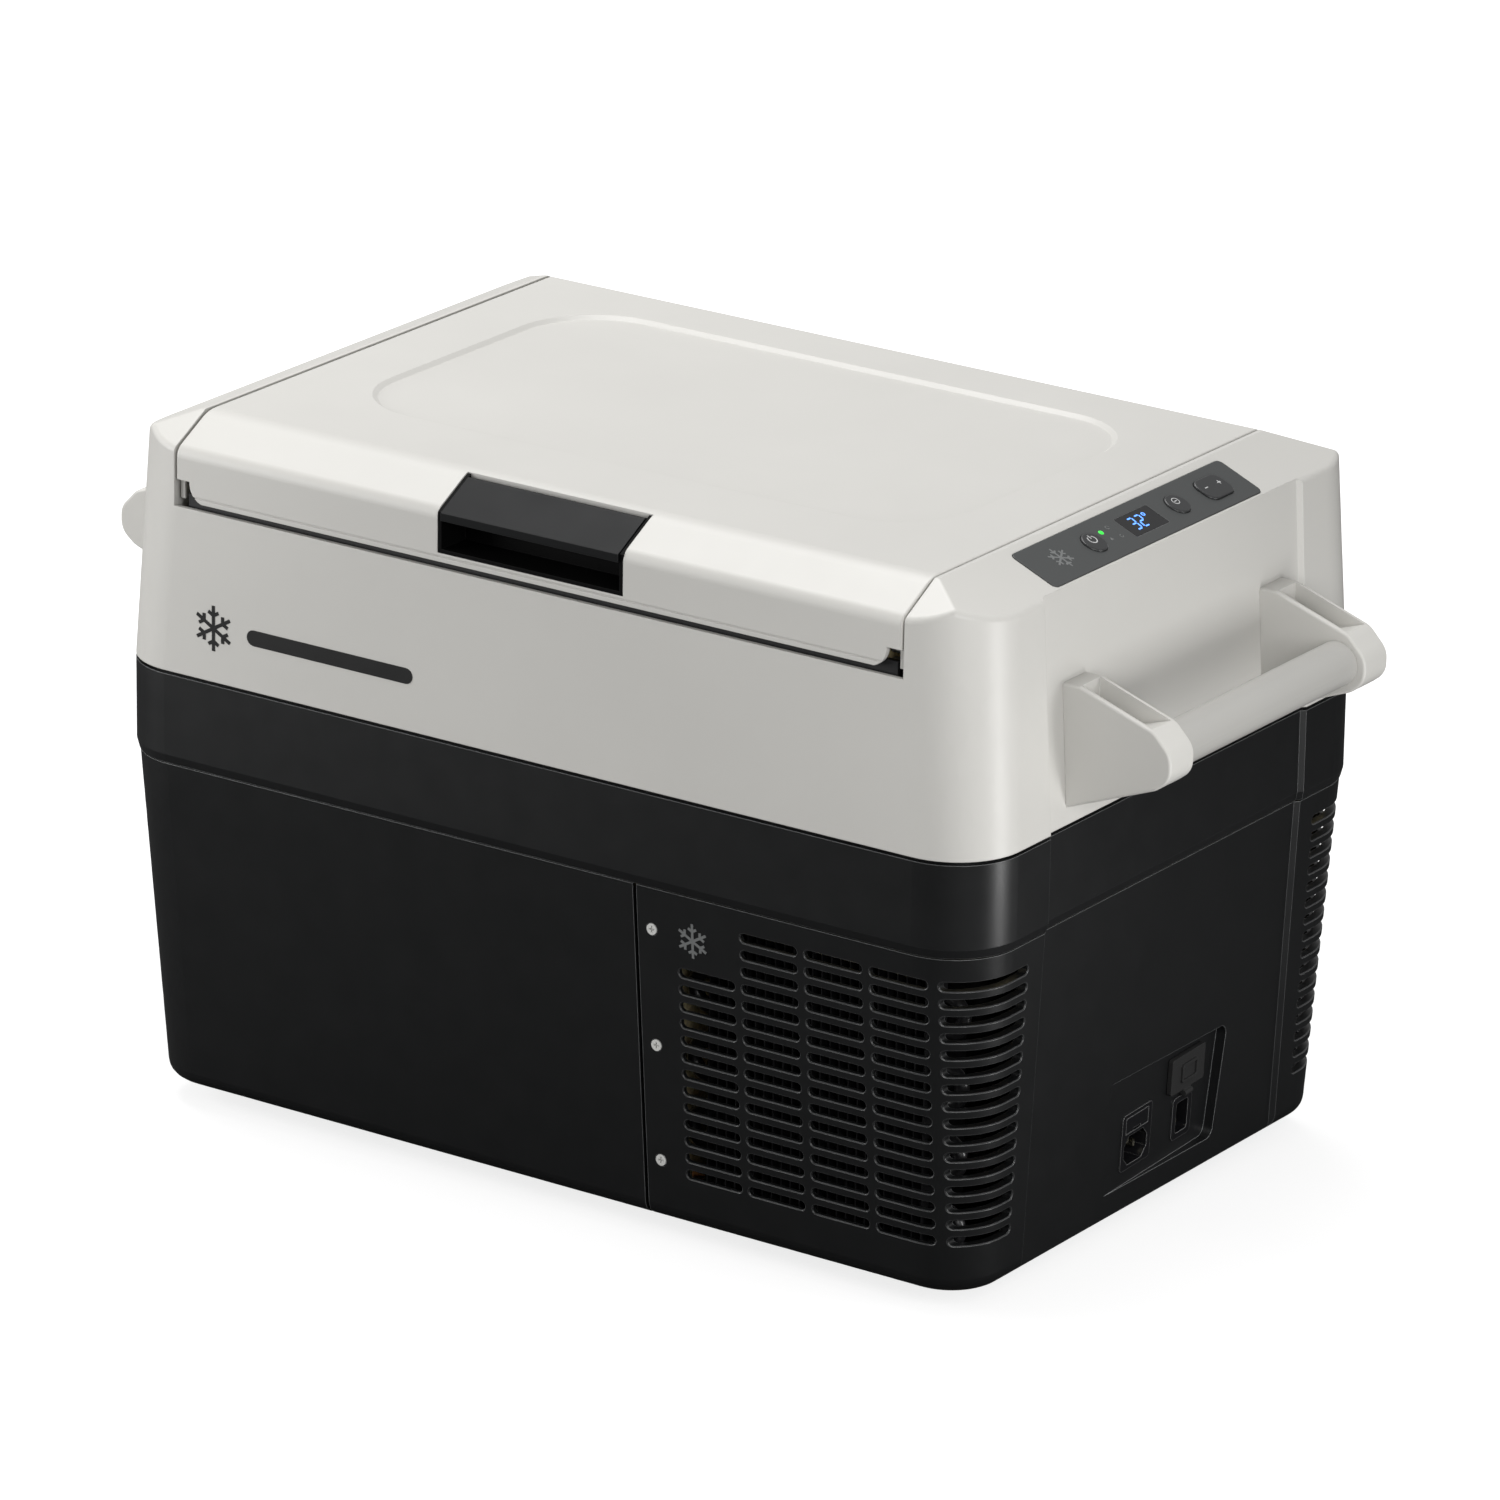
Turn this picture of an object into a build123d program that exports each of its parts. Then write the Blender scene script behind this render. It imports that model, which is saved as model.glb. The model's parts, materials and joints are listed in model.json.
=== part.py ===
from build123d import *
import os
from math import asin, atan2, cos, degrees, hypot, radians, sin, tan

os.makedirs("parts", exist_ok=True)

# ---------------------------------------------------------------------------
# Driving dimensions, millimetres.
# Origin: centre of the footprint on the floor. +X towards the compressor end,
# -Y towards the latch, +Z up.
# ---------------------------------------------------------------------------
body_length = 573.0          # over the corner pillars
body_width = 396.0           # front face to rear face
total_height = 407.0
handle_span = 694.0          # over both carrying handles
corner_radius = 40.0
wall = 3.0
recess_depth = 2.5           # the end faces step in between the corner pillars
recess_half_width = 125.0

foot_height = 12.0
floor_plate_z = foot_height + wall
step_z = 209.0               # lower body to middle band
seam_z = 262.0               # middle band to upper shell
groove = 2.0                 # dark gap at each seam
shell_foot_z = seam_z + groove / 2
apron_top_z = 359.0          # front and rear walls under the lid
rim_z = 347.0                # underside of the rim trim

# lower body, at the step and at the floor
lower_top_half = (284.6, 196.1)
lower_base_half = (275.0, 180.0)
lower_edge_radius = 10.0
cover_split_x = 68.6         # lower shell to compressor cover
floor_plate_half_width = 149.5
floor_plate_end_x = 244.5

# slopes of the top
front_slope_start_y = 170.0
front_slope_foot_z = 391.5
rear_slope_start_y = 147.0
rear_slope_foot_z = 384.0
cheek_flat_x = 241.0
cheek_slope_angle = 22.8
top_edge_radius = 4.0
upper_draft = tan(radians(3.4))   # each end leans in above the seam
upper_radius_growth = 0.045       # corner radius gained per height
draft_top_z = 430.0

# lid
lid_half_length = 237.0
lid_gap = 1.5
cheek_x = lid_half_length + lid_gap
lid_lip_z = 363.0
lid_side_wall = 3.0
lid_top_wall = 4.0
hinge_y = 188.0
hinge_z = 372.0
pin_radius = 3.0
running_clearance = 0.08

# latch
latch_half_width = 57.9
cup_half_width = 60.5
cup_wall = 2.2
cup_floor_z = 368.0
latch_pivot = (-173.9, 401.65)
latch_pin_radius = 1.25
latch_barrel_radius = 2.8

# insulated well and shelf
liner_wall = 2.0
well_x = (-224.0, 50.0)
shelf_end_x = 224.0
well_half_width = 168.0
well_floor_z = 42.0
shelf_floor_z = 225.0
liner_radius = 25.0
compartment_x = 80.0         # foam bulkhead face
compartment_top_z = 193.0

# louvres
slot_pitch = 9.9
slot_height = 5.2
slot_rows = 16
slot_low_z = 43.8
slot_columns = ((95.6, 131.7, 13), (136.2, 172.5, 16), (177.4, 213.9, 16), (218.8, 254.7, 16))
corner_slot_x = 260.6
corner_slot_y = 142.0
louvre_bevel = 0.5

# handles
bracket_inner_y = 85.5
bracket_width = 23.5
grip_radius = 12.5
grip_x = 330.0
grip_z = 309.0

# compressor compartment
fan_centre = (175.0, 100.0)
fan_size = 120.0
compressor_centre = (152.0, 15.0)


def lower_half(z):
    """Half length, half width and corner radius of the lower body at height z."""
    t = (z - foot_height) / (step_z - foot_height)
    half_x = lower_base_half[0] + t * (lower_top_half[0] - lower_base_half[0])
    half_y = lower_base_half[1] + t * (lower_top_half[1] - lower_base_half[1])
    return half_x, half_y, 32.0 + 6.0 * t


def recess_profile(half_x, half_width, side, reach=12.0):
    """Corner points of the stepped-in strip of one end face, open to the outside."""
    face = half_x - recess_depth
    return (
        (side * face, -half_width),
        (side * (face + reach), -half_width - reach),
        (side * (face + reach), half_width + reach),
        (side * face, half_width),
    )


def body_outline(inset=0.0):
    """Plan outline of the upper body, moved in by inset."""
    half_x = body_length / 2 - inset
    with BuildSketch() as outline:
        RectangleRounded(2 * half_x, body_width - 2 * inset, corner_radius - inset)
        for side in (1, -1):
            with BuildLine():
                Polyline(*recess_profile(half_x, recess_half_width + 0.4 * inset, side), close=True)
            make_face(mode=Mode.SUBTRACT)
    return outline.sketch


def body_ring(outer_inset, inner_inset):
    """Flat ring between two insets of the plan outline."""
    outer = body_outline(outer_inset)
    inner = body_outline(inner_inset)
    with BuildSketch() as ring:
        add(outer)
        add(inner, mode=Mode.SUBTRACT)
    return ring.sketch


def upper_half_x(z):
    """Half length of the upper body at height z, over the corner pillars."""
    return body_length / 2 - (z - shell_foot_z) * upper_draft


def upper_block(inset, edge_radius):
    """Upper body solid under the sloped top, every face moved in by inset."""
    with BuildPart() as block:
        for z in (shell_foot_z, draft_top_z):
            radius = corner_radius + (z - shell_foot_z) * upper_radius_growth
            with BuildSketch(Plane.XY.offset(z)):
                RectangleRounded(2 * (upper_half_x(z) - inset), body_width - 2 * inset, radius - inset)
        loft()
        with BuildSketch(Plane.YZ):
            with BuildLine():
                Polyline(
                    (-body_width, 0),
                    (-body_width, side_slope_z(body_width, front_slope_start_y, front_slope_foot_z)),
                    (-front_slope_start_y, total_height),
                    (rear_slope_start_y, total_height),
                    (body_width, side_slope_z(body_width, rear_slope_start_y, rear_slope_foot_z)),
                    (body_width, 0),
                    close=True,
                )
            make_face()
            offset(amount=-inset, kind=Kind.INTERSECTION, mode=Mode.REPLACE)
        extrude(amount=body_length, both=True, mode=Mode.INTERSECT)
        with BuildSketch(Plane.XZ):
            with BuildLine():
                drop = (body_length - cheek_flat_x) * tan(radians(cheek_slope_angle))
                Polyline(
                    (-body_length, 0),
                    (-body_length, total_height - drop),
                    (-cheek_flat_x, total_height),
                    (cheek_flat_x, total_height),
                    (body_length, total_height - drop),
                    (body_length, 0),
                    close=True,
                )
            make_face()
            offset(amount=-inset, kind=Kind.INTERSECTION, mode=Mode.REPLACE)
        extrude(amount=body_width, both=True, mode=Mode.INTERSECT)
        if edge_radius:
            upper_edges = block.edges().filter_by_position(Axis.Z, 370, total_height + 1)
            flat_rims = upper_edges.filter_by(lambda e: abs(e.center().X) > cheek_x + 6)
            fillet(flat_rims, radius=edge_radius)
        strip_half = recess_half_width + 0.4 * inset
        for side in (1, -1):
            for z in (seam_z - 10, draft_top_z):
                with BuildSketch(Plane.XY.offset(z)):
                    with BuildLine():
                        Polyline(*recess_profile(upper_half_x(z) - inset, strip_half, side), close=True)
                    make_face()
            loft(mode=Mode.SUBTRACT)
    return block.part


def side_slope_z(y, start_y, foot_z):
    """Height of a front or rear slope, extended to distance y from the middle."""
    rate = (total_height - foot_z) / (body_width / 2 - start_y)
    return total_height - (y - start_y) * rate


def lower_block(inset, bottom_z, top_z, recessed, bottom_radius):
    """Drafted lower body between two heights, moved in by inset."""
    low = lower_half(bottom_z)
    high = lower_half(top_z)
    end_inset = inset if recessed else inset + recess_depth
    with BuildPart() as block:
        with BuildSketch(Plane.XY.offset(bottom_z)):
            RectangleRounded(2 * (low[0] - end_inset), 2 * (low[1] - inset), low[2] - inset)
        with BuildSketch(Plane.XY.offset(top_z)):
            RectangleRounded(2 * (high[0] - end_inset), 2 * (high[1] - inset), high[2] - inset)
        loft()
        fillet(block.edges().group_by(Axis.Z)[0], radius=bottom_radius)
        if recessed:
            for side in (1, -1):
                for z in (bottom_z - 2, top_z + 2):
                    with BuildSketch(Plane.XY.offset(z)):
                        with BuildLine():
                            Polyline(*recess_profile(lower_half(z)[0], recess_half_width, side), close=True)
                        make_face()
                loft(mode=Mode.SUBTRACT)
    return block.part


# ---------------------------------------------------------------------------
# Lower casing
# ---------------------------------------------------------------------------
shoulder_z = step_z - groove / 2
tub_outer = lower_block(0, foot_height, shoulder_z, True, lower_edge_radius)
tub_inner = lower_block(wall, floor_plate_z, shoulder_z + 4, False, lower_edge_radius - wall)
jamb_outer = lower_block(wall + 0.2, floor_plate_z + 0.2, shoulder_z, False, lower_edge_radius - wall)
jamb_inner = lower_block(2 * wall + 0.2, floor_plate_z + 0.2, shoulder_z + 4, False, 4.0)
rail_inset = (wall + 0.3, 2 * wall - 0.2)
shell_edge_x = cover_split_x - 1.2
cover_edge_x = cover_split_x + 1.2
cover_screw_x = 79.0
cover_screw_z = (48.0, 116.0, 184.0)


def cover_screw_locations():
    """Axis position of each cover screw: side of the body, and the face's y there."""
    return [(side, z, side * lower_half(z)[1]) for side in (-1, 1) for z in cover_screw_z]


def jamb_strip(side):
    """Strip behind the cover's edge on the front or rear wall, with its web to the shell."""
    with BuildPart() as strip:
        add(jamb_outer)
        with Locations((72.5, side * 175, 112)):
            Box(31, 60, 184, mode=Mode.INTERSECT)
    with BuildPart() as web:
        add(tub_outer)
        with Locations(((57 + shell_edge_x) / 2, side * 175, 112)):
            Box(shell_edge_x - 57, 60, 184, mode=Mode.INTERSECT)
    with BuildPart() as jamb:
        add(strip.part)
        add(web.part)
        add(jamb_inner, mode=Mode.SUBTRACT)
    return jamb.part


front_jamb = jamb_strip(-1)
rear_jamb = jamb_strip(1)

with BuildPart() as lower_shell:
    add(tub_outer)
    add(tub_inner, mode=Mode.SUBTRACT)
    with Locations((shell_edge_x, 0, 0)):
        Box(400, 500, 2 * total_height, align=(Align.MIN, Align.CENTER, Align.CENTER), mode=Mode.SUBTRACT)
    # floor plate that carries the compressor
    with Locations((shell_edge_x - 10, 0, foot_height)):
        Box(
            floor_plate_end_x - shell_edge_x + 10,
            2 * floor_plate_half_width,
            wall,
            align=(Align.MIN, Align.CENTER, Align.MIN),
        )
    # rail on top: shoulder on the left part, free-standing belt over the cover
    with BuildSketch(Plane.XY.offset(step_z + 0.5)):
        add(body_ring(*rail_inset))
    extrude(amount=13)
    with BuildSketch(Plane.XY.offset(step_z - 10)):
        add(body_ring(*rail_inset))
        with Locations((shell_edge_x, 0)):
            Rectangle(400, 500, align=(Align.MIN, Align.CENTER), mode=Mode.SUBTRACT)
    extrude(amount=11)
    # jambs behind the cover's edges
    add(front_jamb)
    add(rear_jamb)
    for side, z, face_y in cover_screw_locations():
        with BuildSketch(Plane(origin=(cover_screw_x, face_y, z), z_dir=(0, side, 0))):
            Circle(1.7)
        extrude(amount=12, both=True, mode=Mode.SUBTRACT)
    # openings for the foot screws
    with Locations(*[(x, y, foot_height) for x in (-215, 215) for y in (-130, 130)]):
        Hole(radius=2.1, depth=2 * wall)
lower_shell.part.label = "lower_shell"
export_step(lower_shell.part, "parts/lower_shell.step")

# ---------------------------------------------------------------------------
# Compressor cover with its louvres and socket recess
# ---------------------------------------------------------------------------
draft_angle = degrees(atan2(lower_top_half[0] - lower_base_half[0], step_z - foot_height))
socket_front_y = -45.0
socket_rear_y = 70.0
socket_low_z = 29.0
socket_high_z = 94.0
socket_depth = 6.0
socket_turn = degrees(asin(socket_depth / (socket_rear_y - socket_front_y)))
socket_mid_z = (socket_low_z + socket_high_z) / 2
socket_face_x = lower_half(socket_mid_z)[0] - recess_depth
socket_normal = Vector(
    cos(radians(socket_turn)) * cos(radians(draft_angle)),
    sin(radians(socket_turn)),
    -sin(radians(draft_angle)),
).normalized()
# local x runs rearwards along the recess floor, local y upwards
socket_plane = Plane(
    origin=(socket_face_x, socket_front_y, socket_mid_z),
    x_dir=(-sin(radians(socket_turn)), cos(radians(socket_turn)), 0),
    z_dir=socket_normal,
)


def socket_point(y, z):
    """Local coordinates on the recess floor of a point given by its y and z."""
    return (y - socket_front_y, z - socket_mid_z)


ac_centre = socket_point(-14.0, 54.0)
ac_size = (32.0, 33.0)
fuse_centre = socket_point(-14.0, 63.5)
fuse_size = (24.0, 9.0)
dc_centre = socket_point(36.5, 49.5)
dc_size = (21.0, 25.0)
cap_centre = socket_point(36.0, 77.5)
cap_size = (36.0, 21.0)
cap_hinge = socket_point(36.5, 64.5)

corner_rows = [slot_low_z + slot_pitch * row for row in range(slot_rows)]

with BuildSketch() as recess_shape:
    with BuildLine():
        Polyline(
            (0, socket_low_z - socket_mid_z),
            (socket_rear_y - 6 - socket_front_y, socket_low_z - socket_mid_z),
            (socket_rear_y + 2 - socket_front_y, socket_high_z - socket_mid_z),
            (0, socket_high_z - socket_mid_z),
            close=True,
        )
    make_face()
    fillet(recess_shape.vertices().group_by(Axis.X)[-1], radius=6)
    fillet(recess_shape.vertices().filter_by_position(Axis.X, 60, 112).sort_by(Axis.Y)[0], radius=6)

with BuildPart() as socket_pad:
    with BuildSketch(socket_plane.offset(-wall)):
        add(recess_shape.sketch)
        offset(amount=wall)
    extrude(amount=wall + socket_depth + 4)
    add(tub_outer, mode=Mode.INTERSECT)



def on_louvre_rim(edge):
    """True for a louvre's edge on the outer skin of the drafted body."""
    spot = edge.center()
    in_row = any(abs(spot.Z - z) < slot_height / 2 + 0.15 for z in corner_rows)
    if not in_row or spot.X < slot_columns[0][0] - 1 or abs(spot.Y) < corner_slot_y - 7:
        return False
    half_x, half_y, radius = lower_half(spot.Z)
    past_x = spot.X - (half_x - radius)
    past_y = abs(spot.Y) - (half_y - radius)
    if past_x > 0 and past_y > 0:
        depth = radius - hypot(past_x, past_y)
    else:
        depth = min(half_x - spot.X, half_y - abs(spot.Y))
    return abs(depth) < 0.08


with BuildPart() as compressor_cover:
    add(tub_outer)
    add(tub_inner, mode=Mode.SUBTRACT)
    with Locations((cover_edge_x, 0, 0)):
        Box(800, 500, 2 * total_height, align=(Align.MAX, Align.CENTER, Align.CENTER), mode=Mode.SUBTRACT)
    # window in the floor for the lower shell's plate
    with Locations((0, 0, foot_height)):
        Box(
            floor_plate_end_x + 0.5,
            2 * floor_plate_half_width + 1,
            2 * wall,
            align=(Align.MIN, Align.CENTER, Align.CENTER),
            mode=Mode.SUBTRACT,
        )
    # louvres in the front and rear walls
    with BuildSketch(Plane.XZ):
        for start_x, end_x, rows in slot_columns:
            row_heights = [slot_low_z + slot_pitch * row for row in range(rows)]
            with Locations(*[((start_x + end_x) / 2, z) for z in row_heights]):
                SlotOverall(end_x - start_x, slot_height)
    extrude(amount=body_width, both=True, mode=Mode.SUBTRACT)
    # louvres round both corner pillars
    for side in (-1, 1):
        corner_y = side * (corner_slot_y + slot_height / 2)
        outward = Align.MAX if side < 0 else Align.MIN
        with Locations(*[(corner_slot_x + slot_height / 2, corner_y, z) for z in corner_rows]):
            Box(60, 80, slot_height, align=(Align.MIN, outward, Align.CENTER), mode=Mode.SUBTRACT)
            Cylinder(
                slot_height / 2,
                80,
                rotation=(-side * 90, 0, 0),
                align=(Align.CENTER, Align.CENTER, Align.MIN),
                mode=Mode.SUBTRACT,
            )
            Cylinder(
                slot_height / 2,
                60,
                rotation=(0, 90, 0),
                align=(Align.CENTER, Align.CENTER, Align.MIN),
                mode=Mode.SUBTRACT,
            )
    # recess for the sockets, sunk at its rear edge
    add(socket_pad.part)
    with BuildSketch(socket_plane):
        add(recess_shape.sketch)
    extrude(amount=3 * socket_depth, mode=Mode.SUBTRACT)
    with BuildSketch(socket_plane):
        with Locations(ac_centre):
            Rectangle(ac_size[0] - 2.6, ac_size[1] - 2.6)
        with Locations(dc_centre):
            Rectangle(dc_size[0] - 2.6, dc_size[1] - 2.6)
    extrude(amount=2 * wall, both=True, mode=Mode.SUBTRACT)
    # screw holes with flat seats
    for side, z, face_y in cover_screw_locations():
        screw_plane = Plane(origin=(cover_screw_x, face_y, z), z_dir=(0, side, 0))
        with BuildSketch(screw_plane):
            Circle(1.9)
        extrude(amount=2 * wall, both=True, mode=Mode.SUBTRACT)
        with BuildSketch(screw_plane.offset(-1.5)):
            Circle(3.6)
        extrude(amount=2 * wall, mode=Mode.SUBTRACT)
    # bevelled rims on the louvres
    chamfer(compressor_cover.edges().filter_by(on_louvre_rim), length=louvre_bevel)
compressor_cover.part.label = "compressor_cover"
export_step(compressor_cover.part, "parts/compressor_cover.step")

with BuildPart() as cover_screws:
    for side, z, face_y in cover_screw_locations():
        screw_plane = Plane(origin=(cover_screw_x, face_y, z), z_dir=(0, side, 0))
        with BuildSketch(screw_plane.offset(-1.45)):
            Circle(3.2)
        extrude(amount=1.8)
        with BuildSketch(screw_plane.offset(-9.0)):
            Circle(1.6)
        extrude(amount=8.0)
        with BuildSketch(screw_plane.offset(-0.6)):
            Rectangle(3.6, 0.8)
            Rectangle(0.8, 3.6)
        extrude(amount=3.0, mode=Mode.SUBTRACT)
cover_screws.part.label = "cover_screws"
export_step(cover_screws.part, "parts/cover_screws.step")

# ---------------------------------------------------------------------------
# Sockets: mains inlet with fuse drawer, 12 V inlet with rubber cap
# ---------------------------------------------------------------------------
flange_proud = 0.8
ac_opening_centre = socket_point(-14.5, 48.5)
ac_opening_size = (25.0, 17.0)
ac_body_depth = 24.0

with BuildPart() as ac_inlet:
    with BuildSketch(socket_plane.offset(0.05)):
        with Locations(ac_centre):
            RectangleRounded(ac_size[0], ac_size[1], 2.5)
    extrude(amount=flange_proud)
    with BuildSketch(socket_plane.offset(0.1)):
        with Locations(ac_centre):
            Rectangle(ac_size[0] - 3.2, ac_size[1] - 3.2)
    extrude(amount=-ac_body_depth)
    with BuildSketch(socket_plane.offset(-16)) as opening:
        with Locations(ac_opening_centre):
            Rectangle(*ac_opening_size)
        chamfer(opening.vertices().group_by(Axis.Z)[0], length=5)
    extrude(amount=30, mode=Mode.SUBTRACT)
    with BuildSketch(socket_plane.offset(-20)):
        with Locations(fuse_centre):
            Rectangle(fuse_size[0] + 0.4, fuse_size[1] + 0.4)
    extrude(amount=30, mode=Mode.SUBTRACT)
ac_inlet.part.label = "ac_inlet"
export_step(ac_inlet.part, "parts/ac_inlet.step")

with BuildPart() as fuse_drawer:
    with BuildSketch(socket_plane.offset(-19.8)):
        with Locations(fuse_centre):
            RectangleRounded(fuse_size[0], fuse_size[1], 0.8)
    extrude(amount=19.8 + flange_proud)
    with BuildSketch(socket_plane.offset(-0.6)):
        with Locations(fuse_centre):
            with Locations((0, -fuse_size[1] / 2)):
                Rectangle(8, 3)
    extrude(amount=5, mode=Mode.SUBTRACT)
fuse_drawer.part.label = "fuse_drawer"
export_step(fuse_drawer.part, "parts/fuse_drawer.step")

with BuildPart() as dc_inlet:
    with BuildSketch(socket_plane.offset(0.05)):
        with Locations(dc_centre):
            RectangleRounded(dc_size[0], dc_size[1], 3)
    extrude(amount=flange_proud)
    with BuildSketch(socket_plane.offset(0.1)):
        with Locations(dc_centre):
            Rectangle(dc_size[0] - 3.2, dc_size[1] - 3.2)
    extrude(amount=-18)
    with BuildSketch(socket_plane.offset(-14)):
        with Locations(dc_centre):
            RectangleRounded(13, 18, 2)
    extrude(amount=30, mode=Mode.SUBTRACT)
dc_inlet.part.label = "dc_inlet"
export_step(dc_inlet.part, "parts/dc_inlet.step")

with BuildPart() as contact_pins:
    with BuildSketch(socket_plane.offset(-15.95)):
        with Locations(ac_opening_centre):
            with Locations((-7, -1.5), (0, 2.5), (7, -1.5)):
                Rectangle(2.0, 4.0)
    extrude(amount=12)
    with BuildSketch(socket_plane.offset(-13.95)):
        with Locations(dc_centre):
            with Locations((0, -4.5), (0, 4.5)):
                Circle(1.6)
    extrude(amount=11)
contact_pins.part.label = "contact_pins"
export_step(contact_pins.part, "parts/contact_pins.step")

cap_axis_height = 3.0
cap_low_edge = cap_centre[1] - cap_size[1] / 2
with BuildPart() as dc_cap:
    with BuildSketch(socket_plane.offset(0.4)):
        with Locations(cap_centre):
            RectangleRounded(cap_size[0], cap_size[1], 1.5)
        with Locations((cap_hinge[0], (cap_low_edge + cap_hinge[1]) / 2)):
            Rectangle(8, cap_low_edge - cap_hinge[1] + 1)
    extrude(amount=2.8)
    with BuildSketch(socket_plane.offset(3.0)):
        with Locations(cap_centre):
            RectangleRounded(17, 11, 2)
            RectangleRounded(14, 8, 1, mode=Mode.SUBTRACT)
    extrude(amount=1.6)
    hinge_origin = socket_plane.from_local_coords(Vector(cap_hinge[0] - 4, cap_hinge[1], cap_axis_height))
    with BuildSketch(Plane(origin=hinge_origin, x_dir=socket_plane.z_dir, z_dir=socket_plane.x_dir)):
        Circle(1.8)
    extrude(amount=8)
dc_cap.part.label = "dc_cap"
export_step(dc_cap.part, "parts/dc_cap.step")

# ---------------------------------------------------------------------------
# Middle band
# ---------------------------------------------------------------------------
band_top_z = seam_z - groove / 2
band_draft_in = 1.3
band_draft_rise = 5.0
tongue_gap = 0.8

with BuildPart() as middle_band:
    with BuildSketch(Plane.XY.offset(step_z)):
        add(body_outline(band_draft_in))
    with BuildSketch(Plane.XY.offset(step_z + band_draft_rise)):
        add(body_outline(0))
    loft(ruled=True)
    with BuildSketch(Plane.XY.offset(step_z + band_draft_rise)):
        add(body_outline(0))
    extrude(amount=band_top_z - step_z - band_draft_rise)
    with BuildSketch(Plane.XY.offset(step_z)):
        add(body_outline(wall))
    extrude(amount=band_top_z - step_z, mode=Mode.SUBTRACT)
    # tongue that the upper shell sits over
    with BuildSketch(Plane.XY.offset(seam_z - 16)):
        add(body_ring(wall - 0.5, rail_inset[1]))
    extrude(amount=12)
    with BuildSketch(Plane.XY.offset(seam_z - 10)):
        add(body_ring(wall + tongue_gap, rail_inset[1]))
    extrude(amount=17)
middle_band.part.label = "middle_band"
export_step(middle_band.part, "parts/middle_band.step")

# ---------------------------------------------------------------------------
# Upper shell with the cheeks beside the lid
# ---------------------------------------------------------------------------
upper_outer = upper_block(0, top_edge_radius)
upper_inner = upper_block(wall, 0)
panel_centre_x = 260.45
panel_centre_y = -9.0
panel_slope = radians(cheek_slope_angle)
panel_z = total_height - (panel_centre_x - cheek_flat_x) * tan(panel_slope)
# local x runs down the slope, local y rearwards
panel_plane = Plane(
    origin=(panel_centre_x, panel_centre_y, panel_z),
    x_dir=(cos(panel_slope), 0, -sin(panel_slope)),
    z_dir=(sin(panel_slope), 0, cos(panel_slope)),
)
bezel_size = (31.2, 204.0)
bezel_radius = 3.5
bezel_seat = 1.0
electronics_window = (26.0, 178.0)
power_y = -43.4
lamp_local = (-4.2, -30.7)
display_y = 3.0
display_size = (16.5, 32.0)
set_y = 38.3
rocker_y = 74.4
button_radius = 7.7
rocker_size = (17.0, 24.0)
handle_wall_x = body_length / 2 - recess_depth
handle_mid_y = bracket_inner_y + bracket_width / 2
handle_screw_z = 326.0
bracket_z = (272.5, 341.0)
screw_wall_x = upper_half_x(handle_screw_z) - recess_depth

with BuildPart() as shell_cavity:
    add(upper_inner)
    with Locations((0, 0, seam_z)):
        Box(2 * (body_length / 2 - recess_depth - wall), 300, 8)
    # the walls that face the lid stay standing
    with Locations(*[(side * (cheek_x + wall / 2), 0, rim_z) for side in (-1, 1)]):
        Box(
            wall,
            2 * body_width,
            total_height,
            align=(Align.CENTER, Align.CENTER, Align.MIN),
            mode=Mode.SUBTRACT,
        )

with BuildPart() as upper_shell:
    add(upper_outer)
    add(shell_cavity.part, mode=Mode.SUBTRACT)
    with Locations((0, 0, apron_top_z)):
        Box(
            2 * cheek_x,
            2 * body_width,
            total_height,
            align=(Align.CENTER, Align.CENTER, Align.MIN),
            mode=Mode.SUBTRACT,
        )
    # seat and window for the control bezel
    with BuildSketch(panel_plane.offset(-bezel_seat)):
        RectangleRounded(bezel_size[0] + 0.5, bezel_size[1] + 0.5, bezel_radius + 0.25)
    extrude(amount=10, mode=Mode.SUBTRACT)
    with BuildSketch(panel_plane):
        RectangleRounded(*electronics_window, 3)
    extrude(amount=8, both=True, mode=Mode.SUBTRACT)
    # bores for the lid pins
    for side in (-1, 1):
        with BuildSketch(Plane.YZ.offset(side * (cheek_x - 1))):
            with Locations((hinge_y, hinge_z), (-hinge_y, hinge_z)):
                Circle(pin_radius + 0.05)
        extrude(amount=side * 6, mode=Mode.SUBTRACT)
    # holes for the handle screws
    for side in (-1, 1):
        with BuildSketch(Plane.YZ.offset(side * (screw_wall_x + 2))):
            with Locations((-handle_mid_y, handle_screw_z), (handle_mid_y, handle_screw_z)):
                Circle(2.1)
        extrude(amount=-side * 8, mode=Mode.SUBTRACT)
upper_shell.part.label = "upper_shell"
export_step(upper_shell.part, "parts/upper_shell.step")

# ---------------------------------------------------------------------------
# Carrying handles
# ---------------------------------------------------------------------------
nose_x = handle_span / 2
nose_radius = 12.0
pocket_wall = 3.0
pocket_end_x = handle_wall_x + 5.5
spigot_radius = 7.0
spigot_length = 12.0


def across(y):
    """Vertical plane at distance y from the middle, local axes X and Z."""
    return Plane(origin=(0, y, 0), x_dir=(1, 0, 0), z_dir=(0, -1, 0))


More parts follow.
